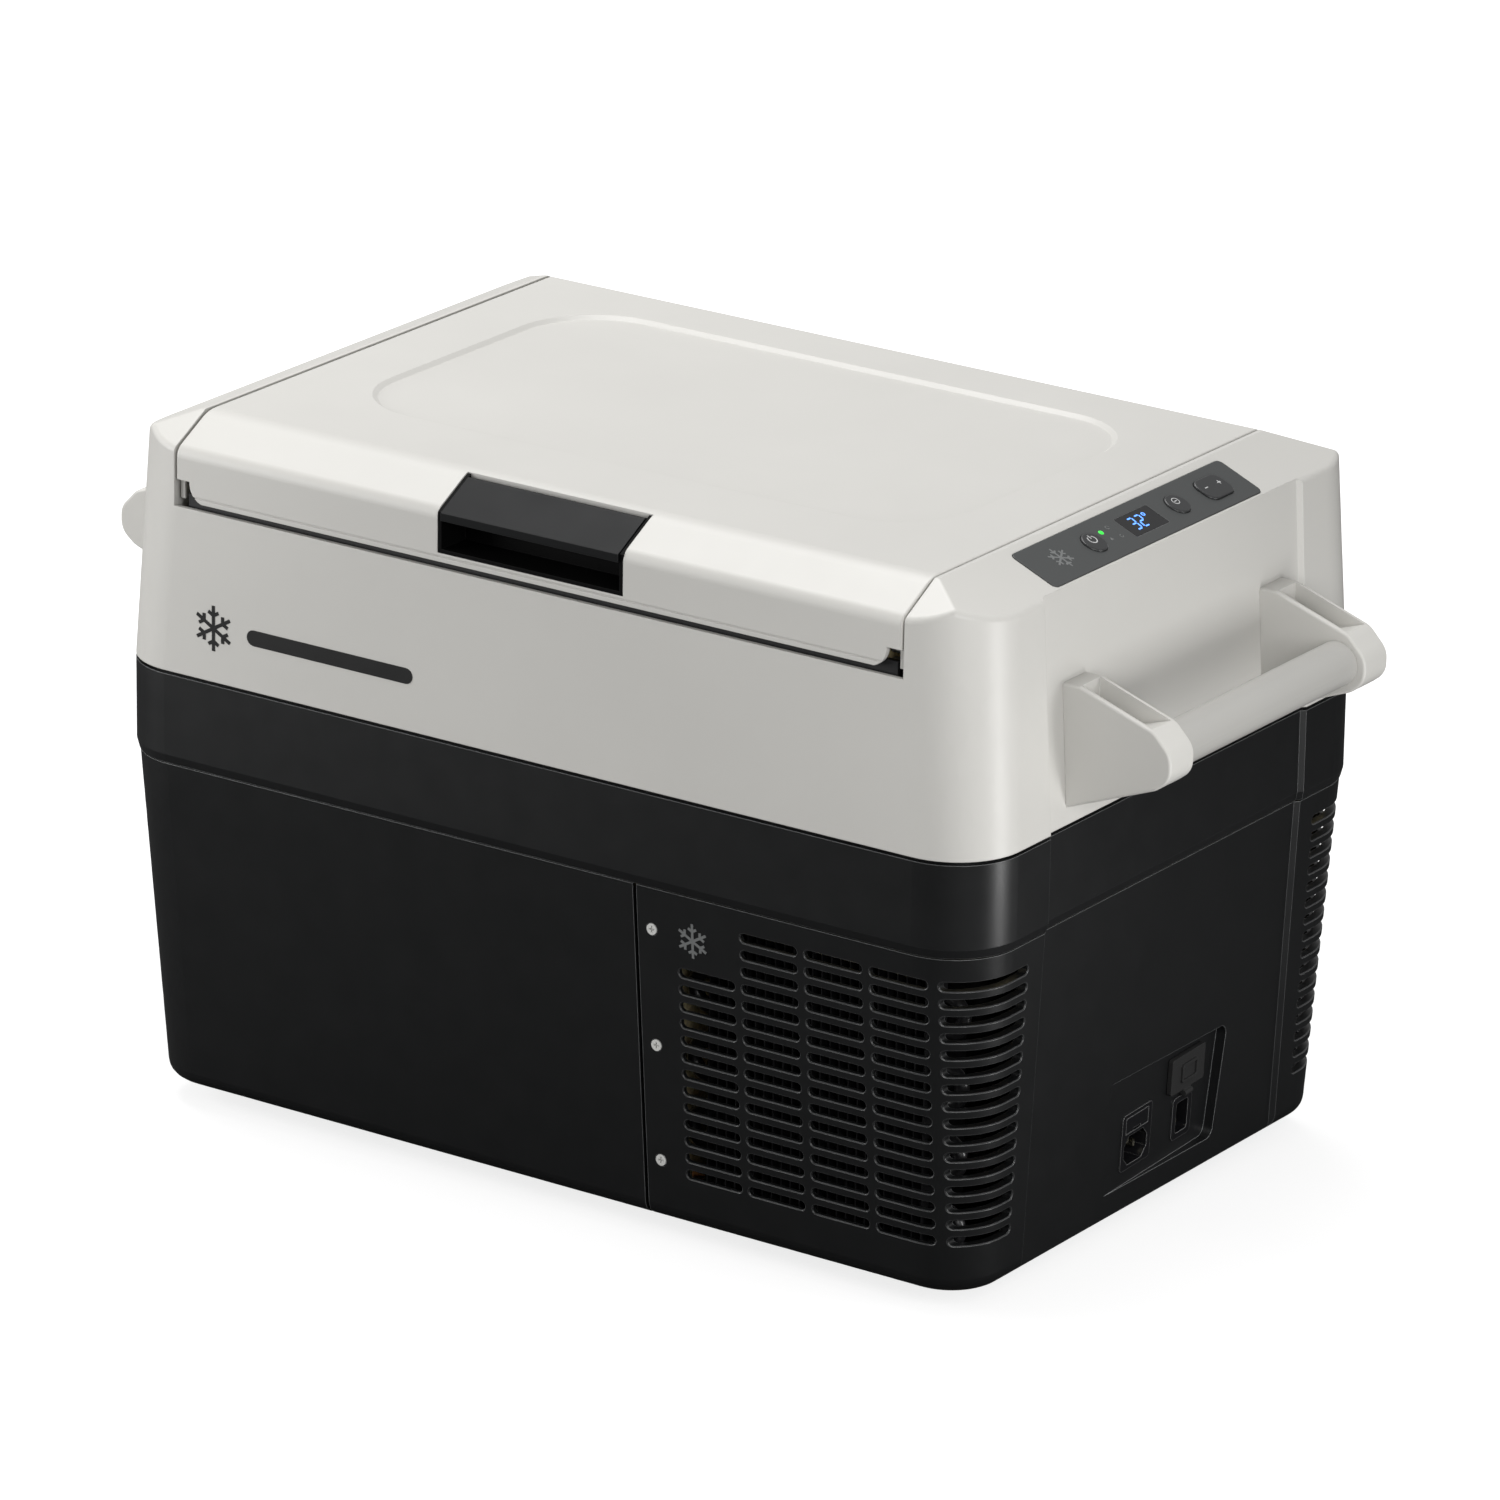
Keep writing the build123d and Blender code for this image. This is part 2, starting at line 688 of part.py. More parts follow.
def handle_bracket(side, end):
    """One bracket: side picks the left or right end face, end the front or rear bracket."""
    mid_y = end * handle_mid_y
    wall_low, wall_high = [upper_half_x(z) - recess_depth + 0.02 for z in bracket_z]
    with BuildPart() as bracket:
        with BuildSketch(across(mid_y)) as profile:
            with BuildLine():
                Polyline(
                    (side * wall_high, bracket_z[1]),
                    (side * 290, bracket_z[1]),
                    (side * 336, 325.5),
                    (side * nose_x, 314),
                    (side * nose_x, 300.5),
                    (side * 338, 293.5),
                    (side * wall_low, bracket_z[0]),
                    close=True,
                )
            make_face()
            nose = profile.vertices().filter_by(lambda v: abs(v.X) > 335)
            fillet(nose, radius=nose_radius)
        extrude(amount=bracket_width / 2, both=True)
        outer_edges = bracket.edges().filter_by(lambda e: abs(e.center().X) > handle_wall_x - 1)
        faces_out = outer_edges.filter_by(lambda e: abs(abs(e.center().Y - mid_y) - bracket_width / 2) < 0.1)
        fillet(faces_out, radius=1.5)
        # open pocket in the top, its floor ramping out to the nose
        with BuildSketch(across(mid_y)):
            with BuildLine():
                Polyline(
                    (side * pocket_end_x, 350),
                    (side * pocket_end_x, 316),
                    (side * (pocket_end_x + 7), 314),
                    (side * 334, 326.2),
                    (side * 334, 350),
                    close=True,
                )
            make_face()
        extrude(amount=bracket_width / 2 - pocket_wall, both=True, mode=Mode.SUBTRACT)
        with BuildSketch(Plane.YZ.offset(side * (screw_wall_x - 1))):
            with Locations((mid_y, handle_screw_z)):
                Circle(2.2)
        extrude(amount=side * 12, mode=Mode.SUBTRACT)
        with BuildSketch(Plane.YZ.offset(side * (pocket_end_x - 2))):
            with Locations((mid_y, handle_screw_z)):
                Circle(4.8)
        extrude(amount=side * 4, mode=Mode.SUBTRACT)
        # bore for the grip's spigot
        with BuildSketch(across(end * (bracket_inner_y - 1))):
            with Locations((side * grip_x, grip_z)):
                Circle(spigot_radius + 0.05)
        extrude(amount=-end * (spigot_length + 1.5), mode=Mode.SUBTRACT)
    return bracket.part


def handle_grip(side):
    """Round grip bar between the two brackets of one end."""
    with BuildPart() as grip:
        with BuildSketch(across(0)):
            with Locations((side * grip_x, grip_z)):
                Circle(grip_radius)
        extrude(amount=bracket_inner_y - 0.05, both=True)
        chamfer(grip.edges(), length=0.6)
        with BuildSketch(across(0)):
            with Locations((side * grip_x, grip_z)):
                Circle(spigot_radius)
        extrude(amount=bracket_inner_y + spigot_length, both=True)
    return grip.part


with BuildPart() as brackets_right:
    add(handle_bracket(1, -1))
    add(handle_bracket(1, 1))
brackets_right.part.label = "brackets_right"
export_step(brackets_right.part, "parts/brackets_right.step")

with BuildPart() as brackets_left:
    add(handle_bracket(-1, -1))
    add(handle_bracket(-1, 1))
brackets_left.part.label = "brackets_left"
export_step(brackets_left.part, "parts/brackets_left.step")

with BuildPart() as grip_right:
    add(handle_grip(1))
grip_right.part.label = "grip_right"
export_step(grip_right.part, "parts/grip_right.step")

with BuildPart() as grip_left:
    add(handle_grip(-1))
grip_left.part.label = "grip_left"
export_step(grip_left.part, "parts/grip_left.step")

with BuildPart() as handle_screws:
    for side in (-1, 1):
        with BuildSketch(Plane.YZ.offset(side * (pocket_end_x - 1.9))):
            with Locations((-handle_mid_y, handle_screw_z), (handle_mid_y, handle_screw_z)):
                Circle(4.2)
        extrude(amount=side * 3)
        with BuildSketch(Plane.YZ.offset(side * (pocket_end_x + 0.2))):
            with Locations((-handle_mid_y, handle_screw_z), (handle_mid_y, handle_screw_z)):
                Rectangle(4.6, 1.0)
                Rectangle(1.0, 4.6)
        extrude(amount=side * 3, mode=Mode.SUBTRACT)
        with BuildSketch(Plane.YZ.offset(side * (screw_wall_x - 5))):
            with Locations((-handle_mid_y, handle_screw_z), (handle_mid_y, handle_screw_z)):
                Circle(2.0)
        extrude(amount=side * 13)
handle_screws.part.label = "handle_screws"
export_step(handle_screws.part, "parts/handle_screws.step")

# ---------------------------------------------------------------------------
# Control panel
# ---------------------------------------------------------------------------
bezel_thickness = 1.5
bezel_base = -bezel_seat + 0.05
bezel_face = bezel_base + bezel_thickness
button_gap = 0.25
button_travel = 0.9

with BuildPart() as control_bezel:
    with BuildSketch(panel_plane.offset(bezel_base)):
        RectangleRounded(*bezel_size, bezel_radius)
    extrude(amount=bezel_thickness)
    top_rim = control_bezel.faces().sort_by(Axis.Z)[-1].edges()
    fillet(top_rim, radius=0.4)
    with BuildSketch(panel_plane):
        with Locations((0, power_y), (0, set_y)):
            Circle(button_radius + button_gap)
        with Locations((0, rocker_y)):
            RectangleRounded(rocker_size[0] + 2 * button_gap, rocker_size[1] + 3 * button_gap, 6.2)
        with Locations((0, display_y)):
            RectangleRounded(display_size[0] + 0.1, display_size[1] + 0.1, 0.8)
        with Locations(lamp_local):
            Circle(1.75)
    extrude(amount=5, both=True, mode=Mode.SUBTRACT)
control_bezel.part.label = "control_bezel"
export_step(control_bezel.part, "parts/control_bezel.step")

with BuildPart() as display_window:
    with BuildSketch(panel_plane.offset(-0.9)):
        with Locations((0, display_y)):
            RectangleRounded(*display_size, 0.75)
    extrude(amount=bezel_face + 0.85)
display_window.part.label = "display_window"
export_step(display_window.part, "parts/display_window.step")

with BuildPart() as display_board:
    with BuildSketch(panel_plane.offset(-7.6)):
        Rectangle(24, 172)
    extrude(amount=1.6)
    with BuildSketch(panel_plane.offset(-6.1)):
        with Locations((0, display_y)):
            Rectangle(15, 30)
    extrude(amount=4.2)
    with BuildSketch(panel_plane.offset(-12)):
        with Locations((4, -40), (-3, 30), (2, 55)):
            Rectangle(9, 12)
    extrude(amount=4.5)
display_board.part.label = "display_board"
export_step(display_board.part, "parts/display_board.step")

with BuildPart() as status_lamp:
    with BuildSketch(panel_plane.offset(-5.9)):
        with Locations(lamp_local):
            Circle(1.6)
    extrude(amount=5.9 + bezel_face + 0.2)
    fillet(status_lamp.edges().sort_by(Axis.Z)[-1], radius=0.5)
status_lamp.part.label = "status_lamp"
export_step(status_lamp.part, "parts/status_lamp.step")


def panel_button(local_y):
    """Round push button with a retaining flange and a stem."""
    with BuildPart() as button:
        with BuildSketch(panel_plane.offset(-3.2)):
            with Locations((0, local_y)):
                Circle(button_radius)
        extrude(amount=3.2 + bezel_face + 1.1)
        fillet(button.edges().sort_by(Axis.Z)[-1], radius=0.9)
        with BuildSketch(panel_plane.offset(-3.2)):
            with Locations((0, local_y)):
                Circle(button_radius + 1.2)
        extrude(amount=1.6)
        with BuildSketch(panel_plane.offset(-4.6)):
            with Locations((0, local_y)):
                Circle(2)
        extrude(amount=1.5)
    return button.part


with BuildPart() as power_button:
    add(panel_button(power_y))
power_button.part.label = "power_button"
export_step(power_button.part, "parts/power_button.step")

with BuildPart() as set_button:
    add(panel_button(set_y))
set_button.part.label = "set_button"
export_step(set_button.part, "parts/set_button.step")

with BuildPart() as temperature_rocker:
    with BuildSketch(panel_plane.offset(-3.2)):
        with Locations((0, rocker_y)):
            RectangleRounded(*rocker_size, 6)
    extrude(amount=3.2 + bezel_face + 1.2)
    fillet(temperature_rocker.faces().sort_by(Axis.Z)[-1].edges(), radius=0.9)
temperature_rocker.part.label = "temperature_rocker"
export_step(temperature_rocker.part, "parts/temperature_rocker.step")

# ---------------------------------------------------------------------------
# Inner liner, insulation, evaporator, rim
# ---------------------------------------------------------------------------
foam_gap = 0.3
foam_top_z = rim_z - 2.4
foam_foot_size = (537.0, 352.0)
foam_size = (554.4, 382.6)
foam_radius = 33.0
foam_lean = 10.0               # lost in length towards the rim
evaporator_wall = 1.3
evaporator_z = (62.0, 214.0)
pipe_channel = (120.0, 180.0)
loom_channel = (258.0, 60.0)
lamp_z = (300.0, 316.0)
lamp_half_width = 12.0
flange_half = (233.0, 186.0)
rim_top_z = 352.0
rim_opening_half = (225.0, 169.0)


def well_volume(outset, top_z):
    """Room inside the liner, the deep well and the shelf above the compressor, moved out by outset."""
    with BuildPart() as volume:
        with BuildSketch(Plane.XY.offset(well_floor_z - outset)):
            with Locations(((well_x[0] + well_x[1]) / 2, 0)):
                RectangleRounded(
                    well_x[1] - well_x[0] + 2 * outset, 2 * (well_half_width + outset), liner_radius + outset
                )
        extrude(amount=top_z - well_floor_z + outset)
        fillet(volume.edges().group_by(Axis.Z)[0], radius=8 + outset)
        with BuildSketch(Plane.XY.offset(shelf_floor_z - outset)):
            RectangleRounded(
                2 * (shelf_end_x + outset), 2 * (well_half_width + outset), liner_radius + outset
            )
        extrude(amount=top_z - shelf_floor_z + outset)
    return volume.part


with BuildPart() as inner_liner:
    add(well_volume(liner_wall, rim_z - 0.1))
    with BuildSketch(Plane.XY.offset(rim_z - 2.1)):
        RectangleRounded(2 * flange_half[0], 2 * flange_half[1], 30)
    extrude(amount=2)
    add(well_volume(0, rim_z + 5), mode=Mode.SUBTRACT)
    with Locations((shelf_end_x, 0, (lamp_z[0] + lamp_z[1]) / 2)):
        Box(10, 2 * lamp_half_width + 0.4, lamp_z[1] - lamp_z[0] + 0.4, mode=Mode.SUBTRACT)
inner_liner.part.label = "inner_liner"
export_step(inner_liner.part, "parts/inner_liner.step")

evaporator_centre_x = (well_x[0] + well_x[1]) / 2
evaporator_inset = liner_wall + 0.3
evaporator_size = (
    well_x[1] - well_x[0] + 2 * evaporator_inset,
    2 * (well_half_width + evaporator_inset),
)

with BuildPart() as evaporator_plate:
    with BuildSketch(Plane.XY.offset(evaporator_z[0])):
        with Locations((evaporator_centre_x, 0)):
            RectangleRounded(
                evaporator_size[0] + 2 * evaporator_wall,
                evaporator_size[1] + 2 * evaporator_wall,
                liner_radius + evaporator_inset + evaporator_wall,
            )
            RectangleRounded(*evaporator_size, liner_radius + evaporator_inset, mode=Mode.SUBTRACT)
    extrude(amount=evaporator_z[1] - evaporator_z[0])
evaporator_plate.part.label = "evaporator_plate"
export_step(evaporator_plate.part, "parts/evaporator_plate.step")

with BuildPart() as foam_body:
    with BuildSketch(Plane.XY.offset(floor_plate_z + 0.5)):
        RectangleRounded(*foam_foot_size, foam_radius - 2)
    with BuildSketch(Plane.XY.offset(step_z - 4)):
        RectangleRounded(*foam_size, foam_radius)
    loft()
    fillet(foam_body.edges().group_by(Axis.Z)[0], radius=8)
    with BuildSketch(Plane.XY.offset(step_z - 4)):
        RectangleRounded(*foam_size, foam_radius)
    extrude(amount=seam_z - step_z + 4)
    with BuildSketch(Plane.XY.offset(seam_z)):
        RectangleRounded(*foam_size, foam_radius)
    with BuildSketch(Plane.XY.offset(foam_top_z)):
        RectangleRounded(foam_size[0] - foam_lean, foam_size[1], foam_radius)
    loft()
    # compressor compartment and clearance at the jambs
    with Locations((compartment_x, 0, 0)):
        Box(
            400,
            500,
            compartment_top_z,
            align=(Align.MIN, Align.CENTER, Align.MIN),
            mode=Mode.SUBTRACT,
        )
    for side in (-1, 1):
        with Locations((compartment_x - 24, side * 172, 0)):
            outward = Align.MAX if side < 0 else Align.MIN
            Box(34, 60, compartment_top_z + 12, align=(Align.MIN, outward, Align.MIN), mode=Mode.SUBTRACT)
    add(well_volume(liner_wall + foam_gap, rim_z + 5), mode=Mode.SUBTRACT)
    # pocket for the evaporator
    with BuildSketch(Plane.XY.offset(evaporator_z[0] - 1)):
        with Locations((evaporator_centre_x, 0)):
            RectangleRounded(
                evaporator_size[0] + 2 * evaporator_wall + 1,
                evaporator_size[1] + 2 * evaporator_wall + 1,
                liner_radius + evaporator_inset + evaporator_wall + 0.5,
            )
    extrude(amount=evaporator_z[1] - evaporator_z[0] + 2, mode=Mode.SUBTRACT)
    # channels for the pipes, the loom and the lamp
    with Locations((compartment_x, *pipe_channel)):
        Cylinder(10, 60, rotation=(0, 90, 0), mode=Mode.SUBTRACT)
    with Locations((*loom_channel, rim_z)):
        Cylinder(5, 400, mode=Mode.SUBTRACT)
    with Locations((shelf_end_x + 6, 0, (lamp_z[0] + lamp_z[1]) / 2)):
        Box(18, 2 * lamp_half_width + 6, lamp_z[1] - lamp_z[0] + 6, mode=Mode.SUBTRACT)
foam_body.part.label = "foam_body"
export_step(foam_body.part, "parts/foam_body.step")

with BuildPart() as rim_trim:
    with BuildSketch(Plane.XY.offset(rim_z + 0.1)):
        Rectangle(2 * cheek_x - 0.6, 2 * (body_width / 2 - wall) - 0.6)
        RectangleRounded(2 * rim_opening_half[0], 2 * rim_opening_half[1], liner_radius, mode=Mode.SUBTRACT)
    extrude(amount=rim_top_z - rim_z - 0.1)
    # upstand behind the front wall
    with Locations((0, -(body_width / 2 - wall - 1.5), rim_top_z - 1)):
        Box(2 * lid_half_length - 10, 3.5, 15, align=(Align.CENTER, Align.MIN, Align.MIN))
rim_trim.part.label = "rim_trim"
export_step(rim_trim.part, "parts/rim_trim.step")

with BuildPart() as lamp_lens:
    with Locations((shelf_end_x + 0.5, 0, (lamp_z[0] + lamp_z[1]) / 2)):
        Box(6, 2 * lamp_half_width, lamp_z[1] - lamp_z[0])
    fillet(lamp_lens.faces().sort_by(Axis.X)[0].edges(), radius=1.5)
lamp_lens.part.label = "lamp_lens"
export_step(lamp_lens.part, "parts/lamp_lens.step")

# ---------------------------------------------------------------------------
# Lid
# ---------------------------------------------------------------------------
lid_rolls = (
    (-body_width / 2, front_slope_foot_z, 8.0),
    (-front_slope_start_y, total_height, 22.0),
    (rear_slope_start_y, total_height, 3.5),
    (body_width / 2, rear_slope_foot_z, 3.5),
)
tray_half_length = 193.0
tray_y = (-113.0, 111.0)
tray_radius = 50.0
tray_depth = 2.0
notch_inner_x = 220.0
notch_side_x = 228.0
notch_top_z = 374.5
hinge_block_x = (222.0, 233.4)
hinge_block_y = (181.5, 194.4)
hinge_block_z = (364.2, 380.0)
pin_end_x = 226.0
liner_plate_z = (360.0, 362.0)
plug_z = 351.0
plug_half = (216.0, 160.0)

with BuildSketch() as lid_profile:
    with BuildLine():
        Polyline(
            (-body_width / 2, lid_lip_z),
            (-body_width / 2, front_slope_foot_z),
            (-front_slope_start_y, total_height),
            (rear_slope_start_y, total_height),
            (body_width / 2, rear_slope_foot_z),
            (body_width / 2, lid_lip_z),
            close=True,
        )
    make_face()

with BuildSketch() as lid_room:
    with BuildLine():
        Polyline(
            (-body_width / 2, lid_lip_z - 40),
            (-body_width / 2, front_slope_foot_z),
            (-front_slope_start_y, total_height),
            (rear_slope_start_y, total_height),
            (body_width / 2, rear_slope_foot_z),
            (body_width / 2, lid_lip_z - 40),
            close=True,
        )
    make_face()
    offset(amount=-lid_side_wall, kind=Kind.INTERSECTION, mode=Mode.REPLACE)
    with Locations((0, total_height - lid_top_wall)):
        Rectangle(2 * body_width, 60, align=(Align.CENTER, Align.MIN), mode=Mode.SUBTRACT)

pin_places = [(side, end) for side in (-1, 1) for end in (-1, 1)]

with BuildPart() as lid_outer:
    with BuildSketch(Plane.YZ):
        add(lid_profile.sketch)
    extrude(amount=lid_half_length, both=True)
    for y, z, roll_radius in lid_rolls:
        long_edges = lid_outer.edges().filter_by(Axis.X)
        fillet(long_edges.sort_by_distance((0, y, z))[0], radius=roll_radius)
    rims = lid_outer.edges().filter_by(lambda e: abs(abs(e.center().X) - lid_half_length) < 0.1)
    fillet(rims.filter_by_position(Axis.Z, 366, total_height + 1), radius=1.2)
    with BuildSketch(Plane.YZ):
        add(lid_room.sketch)
    extrude(amount=lid_half_length - lid_side_wall, both=True, mode=Mode.SUBTRACT)
    # shallow tray in the top
    with BuildSketch(Plane.XY.offset(total_height - tray_depth)):
        with Locations((0, (tray_y[0] + tray_y[1]) / 2)):
            RectangleRounded(
                2 * (tray_half_length - 3), tray_y[1] - tray_y[0] - 6, tray_radius - 3
            )
    with BuildSketch(Plane.XY.offset(total_height + 0.01)):
        with Locations((0, (tray_y[0] + tray_y[1]) / 2)):
            RectangleRounded(2 * tray_half_length, tray_y[1] - tray_y[0], tray_radius)
    loft(ruled=True, mode=Mode.SUBTRACT)
    # fine groove that sets off the bead along the lip
    with Locations((0, -body_width / 2, lid_lip_z + 3)):
        Box(2 * lid_half_length + 2, 1.0, 0.8, mode=Mode.SUBTRACT)
    # room for the latch
    with Locations((0, latch_pivot[0] + latch_barrel_radius + 0.5, cup_floor_z - 0.1)):
        Box(
            2 * cup_half_width + 0.4,
            100,
            100,
            align=(Align.CENTER, Align.MAX, Align.MIN),
            mode=Mode.SUBTRACT,
        )
    # notches at both ends of the front lip
    for side in (-1, 1):
        with BuildSketch(across(-body_width / 2 + 4)):
            with BuildLine():
                Line((side * notch_inner_x, lid_lip_z - 1), (side * notch_inner_x, lid_lip_z))
                ThreePointArc(
                    (side * notch_inner_x, lid_lip_z),
                    (side * (notch_side_x - 2.2), lid_lip_z + 4),
                    (side * notch_side_x, notch_top_z),
                )
                Polyline(
                    (side * notch_side_x, notch_top_z),
                    (side * (lid_half_length + 1), notch_top_z),
                    (side * (lid_half_length + 1), lid_lip_z - 1),
                    (side * notch_inner_x, lid_lip_z - 1),
                )
            make_face()
        extrude(amount=10, mode=Mode.SUBTRACT)
    # clearance round the pins: closed at the hinge side, open downwards at the front
    for side in (-1, 1):
        with BuildSketch(Plane.YZ.offset(side * (lid_half_length + 1))):
            with Locations((hinge_y, hinge_z), (-hinge_y, hinge_z)):
                Circle(pin_radius + 1.2)
            with Locations((-hinge_y, hinge_z)):
                Rectangle(2 * (pin_radius + 1.2), 30, align=(Align.CENTER, Align.MAX))
        extrude(amount=-side * 6, mode=Mode.SUBTRACT)
lid_outer.part.label = "lid_outer"
export_step(lid_outer.part, "parts/lid_outer.step")

with BuildPart() as lid_liner:
    with BuildSketch(Plane.XY.offset(liner_plate_z[0])):
        with Locations((0, (hinge_block_y[1] - 187) / 2)):
            Rectangle(2 * (lid_half_length - lid_side_wall - 0.5), hinge_block_y[1] + 187)
        with Locations(*[(side * 234, -hinge_y) for side in (-1, 1)]):
            Rectangle(20, 12, mode=Mode.SUBTRACT)
    extrude(amount=liner_plate_z[1] - liner_plate_z[0])
    with BuildSketch(Plane.XY.offset(plug_z)):
        RectangleRounded(2 * plug_half[0], 2 * plug_half[1], 26)
    extrude(amount=liner_plate_z[1] - plug_z)
    fillet(lid_liner.edges().group_by(Axis.Z)[0], radius=5)
    with BuildSketch(Plane.XY.offset(plug_z + 2)):
        RectangleRounded(2 * (plug_half[0] - 2), 2 * (plug_half[1] - 2), 24)
    extrude(amount=20, mode=Mode.SUBTRACT)
    with Locations(*[(side * 228, hinge_y, liner_plate_z[0]) for side in (-1, 1)]):
        Cylinder(1.6, 10, mode=Mode.SUBTRACT)
lid_liner.part.label = "lid_liner"
export_step(lid_liner.part, "parts/lid_liner.step")

with BuildPart() as lid_foam:
    with BuildSketch(Plane.YZ):
        add(lid_room.sketch)
        offset(amount=-0.4, kind=Kind.INTERSECTION, mode=Mode.REPLACE)
        with Locations((0, liner_plate_z[1] + 0.3)):
            Rectangle(2 * body_width, 200, align=(Align.CENTER, Align.MAX), mode=Mode.SUBTRACT)
    extrude(amount=lid_half_length - lid_side_wall - 0.4, both=True)
    with BuildSketch(Plane.XY.offset(plug_z + 2.3)):
        RectangleRounded(2 * (plug_half[0] - 2.4), 2 * (plug_half[1] - 2.4), 23)
    extrude(amount=liner_plate_z[1] - plug_z)
    # clearance for the latch and for the front edge
    with Locations((0, -165, 0)):
        Box(
            2 * cup_half_width + 4,
            100,
            1000,
            align=(Align.CENTER, Align.MAX, Align.CENTER),
            mode=Mode.SUBTRACT,
        )
    with Locations((0, -186.5, 0)):
        Box(600, 40, 2 * 369, align=(Align.CENTER, Align.MAX, Align.CENTER), mode=Mode.SUBTRACT)
    for side, end in pin_places:
        with Locations((side * 232, end * hinge_y, hinge_z - 1)):
            Box(24, 22, 24, mode=Mode.SUBTRACT)
lid_foam.part.label = "lid_foam"
export_step(lid_foam.part, "parts/lid_foam.step")

with BuildPart() as lid_gasket:
    with BuildSketch(Plane.XY.offset(rim_top_z + 0.3)):
        RectangleRounded(2 * 232.5, 2 * 178, 30)
        RectangleRounded(2 * 226, 2 * 171.5, 23.5, mode=Mode.SUBTRACT)
    extrude(amount=liner_plate_z[0] - rim_top_z - 0.35)
    fillet(lid_gasket.edges().group_by(Axis.Z)[0], radius=2.2)
lid_gasket.part.label = "lid_gasket"
export_step(lid_gasket.part, "parts/lid_gasket.step")

with BuildPart() as hinge_blocks:
    for side in (-1, 1):
        with Locations(
            (
                side * (hinge_block_x[0] + hinge_block_x[1]) / 2,
                (hinge_block_y[0] + hinge_block_y[1]) / 2,
                (hinge_block_z[0] + hinge_block_z[1]) / 2,
            )
        ):
            Box(
                hinge_block_x[1] - hinge_block_x[0],
                hinge_block_y[1] - hinge_block_y[0],
                hinge_block_z[1] - hinge_block_z[0],
            )
        with Locations((side * 228, hinge_y, liner_plate_z[1] + 0.1)):
            Cylinder(3.5, 2.3, align=(Align.CENTER, Align.CENTER, Align.MIN))
        with BuildSketch(Plane.YZ.offset(side * (pin_end_x - 1))):
            with Locations((hinge_y, hinge_z)):
                Circle(pin_radius + running_clearance)
        extrude(amount=side * 20, mode=Mode.SUBTRACT)
        with Locations((side * 228, hinge_y, 364)):
            Cylinder(1.6, 10, mode=Mode.SUBTRACT)
hinge_blocks.part.label = "hinge_blocks"
export_step(hinge_blocks.part, "parts/hinge_blocks.step")

with BuildPart() as hinge_screws:
    for side in (-1, 1):
        with Locations((side * 228, hinge_y, liner_plate_z[0] - 1.0)):
            Cylinder(3, 1.9)
        with Locations((side * 228, hinge_y, liner_plate_z[0] - 0.5)):
            Cylinder(1.5, 8.5, align=(Align.CENTER, Align.CENTER, Align.MIN))
        with Locations((side * 228, hinge_y, liner_plate_z[0] - 1.9)):
            Box(3.6, 0.8, 1.2, mode=Mode.SUBTRACT)
            Box(0.8, 3.6, 1.2, mode=Mode.SUBTRACT)
hinge_screws.part.label = "hinge_screws"
export_step(hinge_screws.part, "parts/hinge_screws.step")

with BuildPart() as pivot_pins:
    for side, end in pin_places:
        with BuildSketch(Plane.YZ.offset(side * pin_end_x)):
            with Locations((end * hinge_y, hinge_z)):
                Circle(pin_radius)
        extrude(amount=side * (cheek_x + wall - pin_end_x + 2))
        with BuildSketch(Plane.YZ.offset(side * (cheek_x + wall + 0.1))):
            with Locations((end * hinge_y, hinge_z)):
                Circle(pin_radius + 2)
        extrude(amount=side * 2.4)
pivot_pins.part.label = "pivot_pins"
export_step(pivot_pins.part, "parts/pivot_pins.step")

# ---------------------------------------------------------------------------
# Latch
# ---------------------------------------------------------------------------
slope_length = ((body_width / 2 - front_slope_start_y) ** 2 + (total_height - front_slope_foot_z) ** 2) ** 0.5
slope_dir = (
    -(body_width / 2 - front_slope_start_y) / slope_length,
    -(total_height - front_slope_foot_z) / slope_length,
)
handle_nose_y = -body_width / 2 - 1.0
handle_plate = 4.0
cup_back_y = -174.0


def on_slope(y, depth):
    """Point under the front slope at distance y, sunk by depth at right angles to the slope."""
    along = (y + front_slope_start_y) / slope_dir[0]
    z = total_height + along * slope_dir[1]
    return (y - depth * slope_dir[1], z + depth * slope_dir[0])


with BuildPart() as latch_cup:
    with BuildSketch(Plane.YZ):
        with BuildLine():
            Polyline(
                (-body_width / 2 + 0.2, cup_floor_z),
                (-body_width / 2 + 0.2, front_slope_foot_z - 0.6),
                on_slope(-body_width / 2 + 1, 0.6),
                (-171.0, on_slope(-171.0, 1.0)[1]),
                (-171.0, 394.0),
                (cup_back_y, 394.0),
                (cup_back_y, cup_floor_z),
                close=True,
            )
        make_face()
    extrude(amount=cup_half_width, both=True)
    with BuildSketch(Plane.YZ):
        with BuildLine():
            Polyline(
                (-body_width, cup_floor_z + cup_wall),
                (cup_back_y - cup_wall, cup_floor_z + cup_wall),
                (cup_back_y - cup_wall, 396.2),
                (-160, 396.2),
                (-160, 500),
                (-body_width, 500),
                close=True,
            )
        make_face()
    extrude(amount=cup_half_width - cup_wall, both=True, mode=Mode.SUBTRACT)
    with BuildSketch(Plane.YZ):
        with Locations(latch_pivot):
            Circle(latch_pin_radius + 0.03)
    extrude(amount=cup_half_width + 5, both=True, mode=Mode.SUBTRACT)
latch_cup.part.label = "latch_cup"
export_step(latch_cup.part, "parts/latch_cup.step")

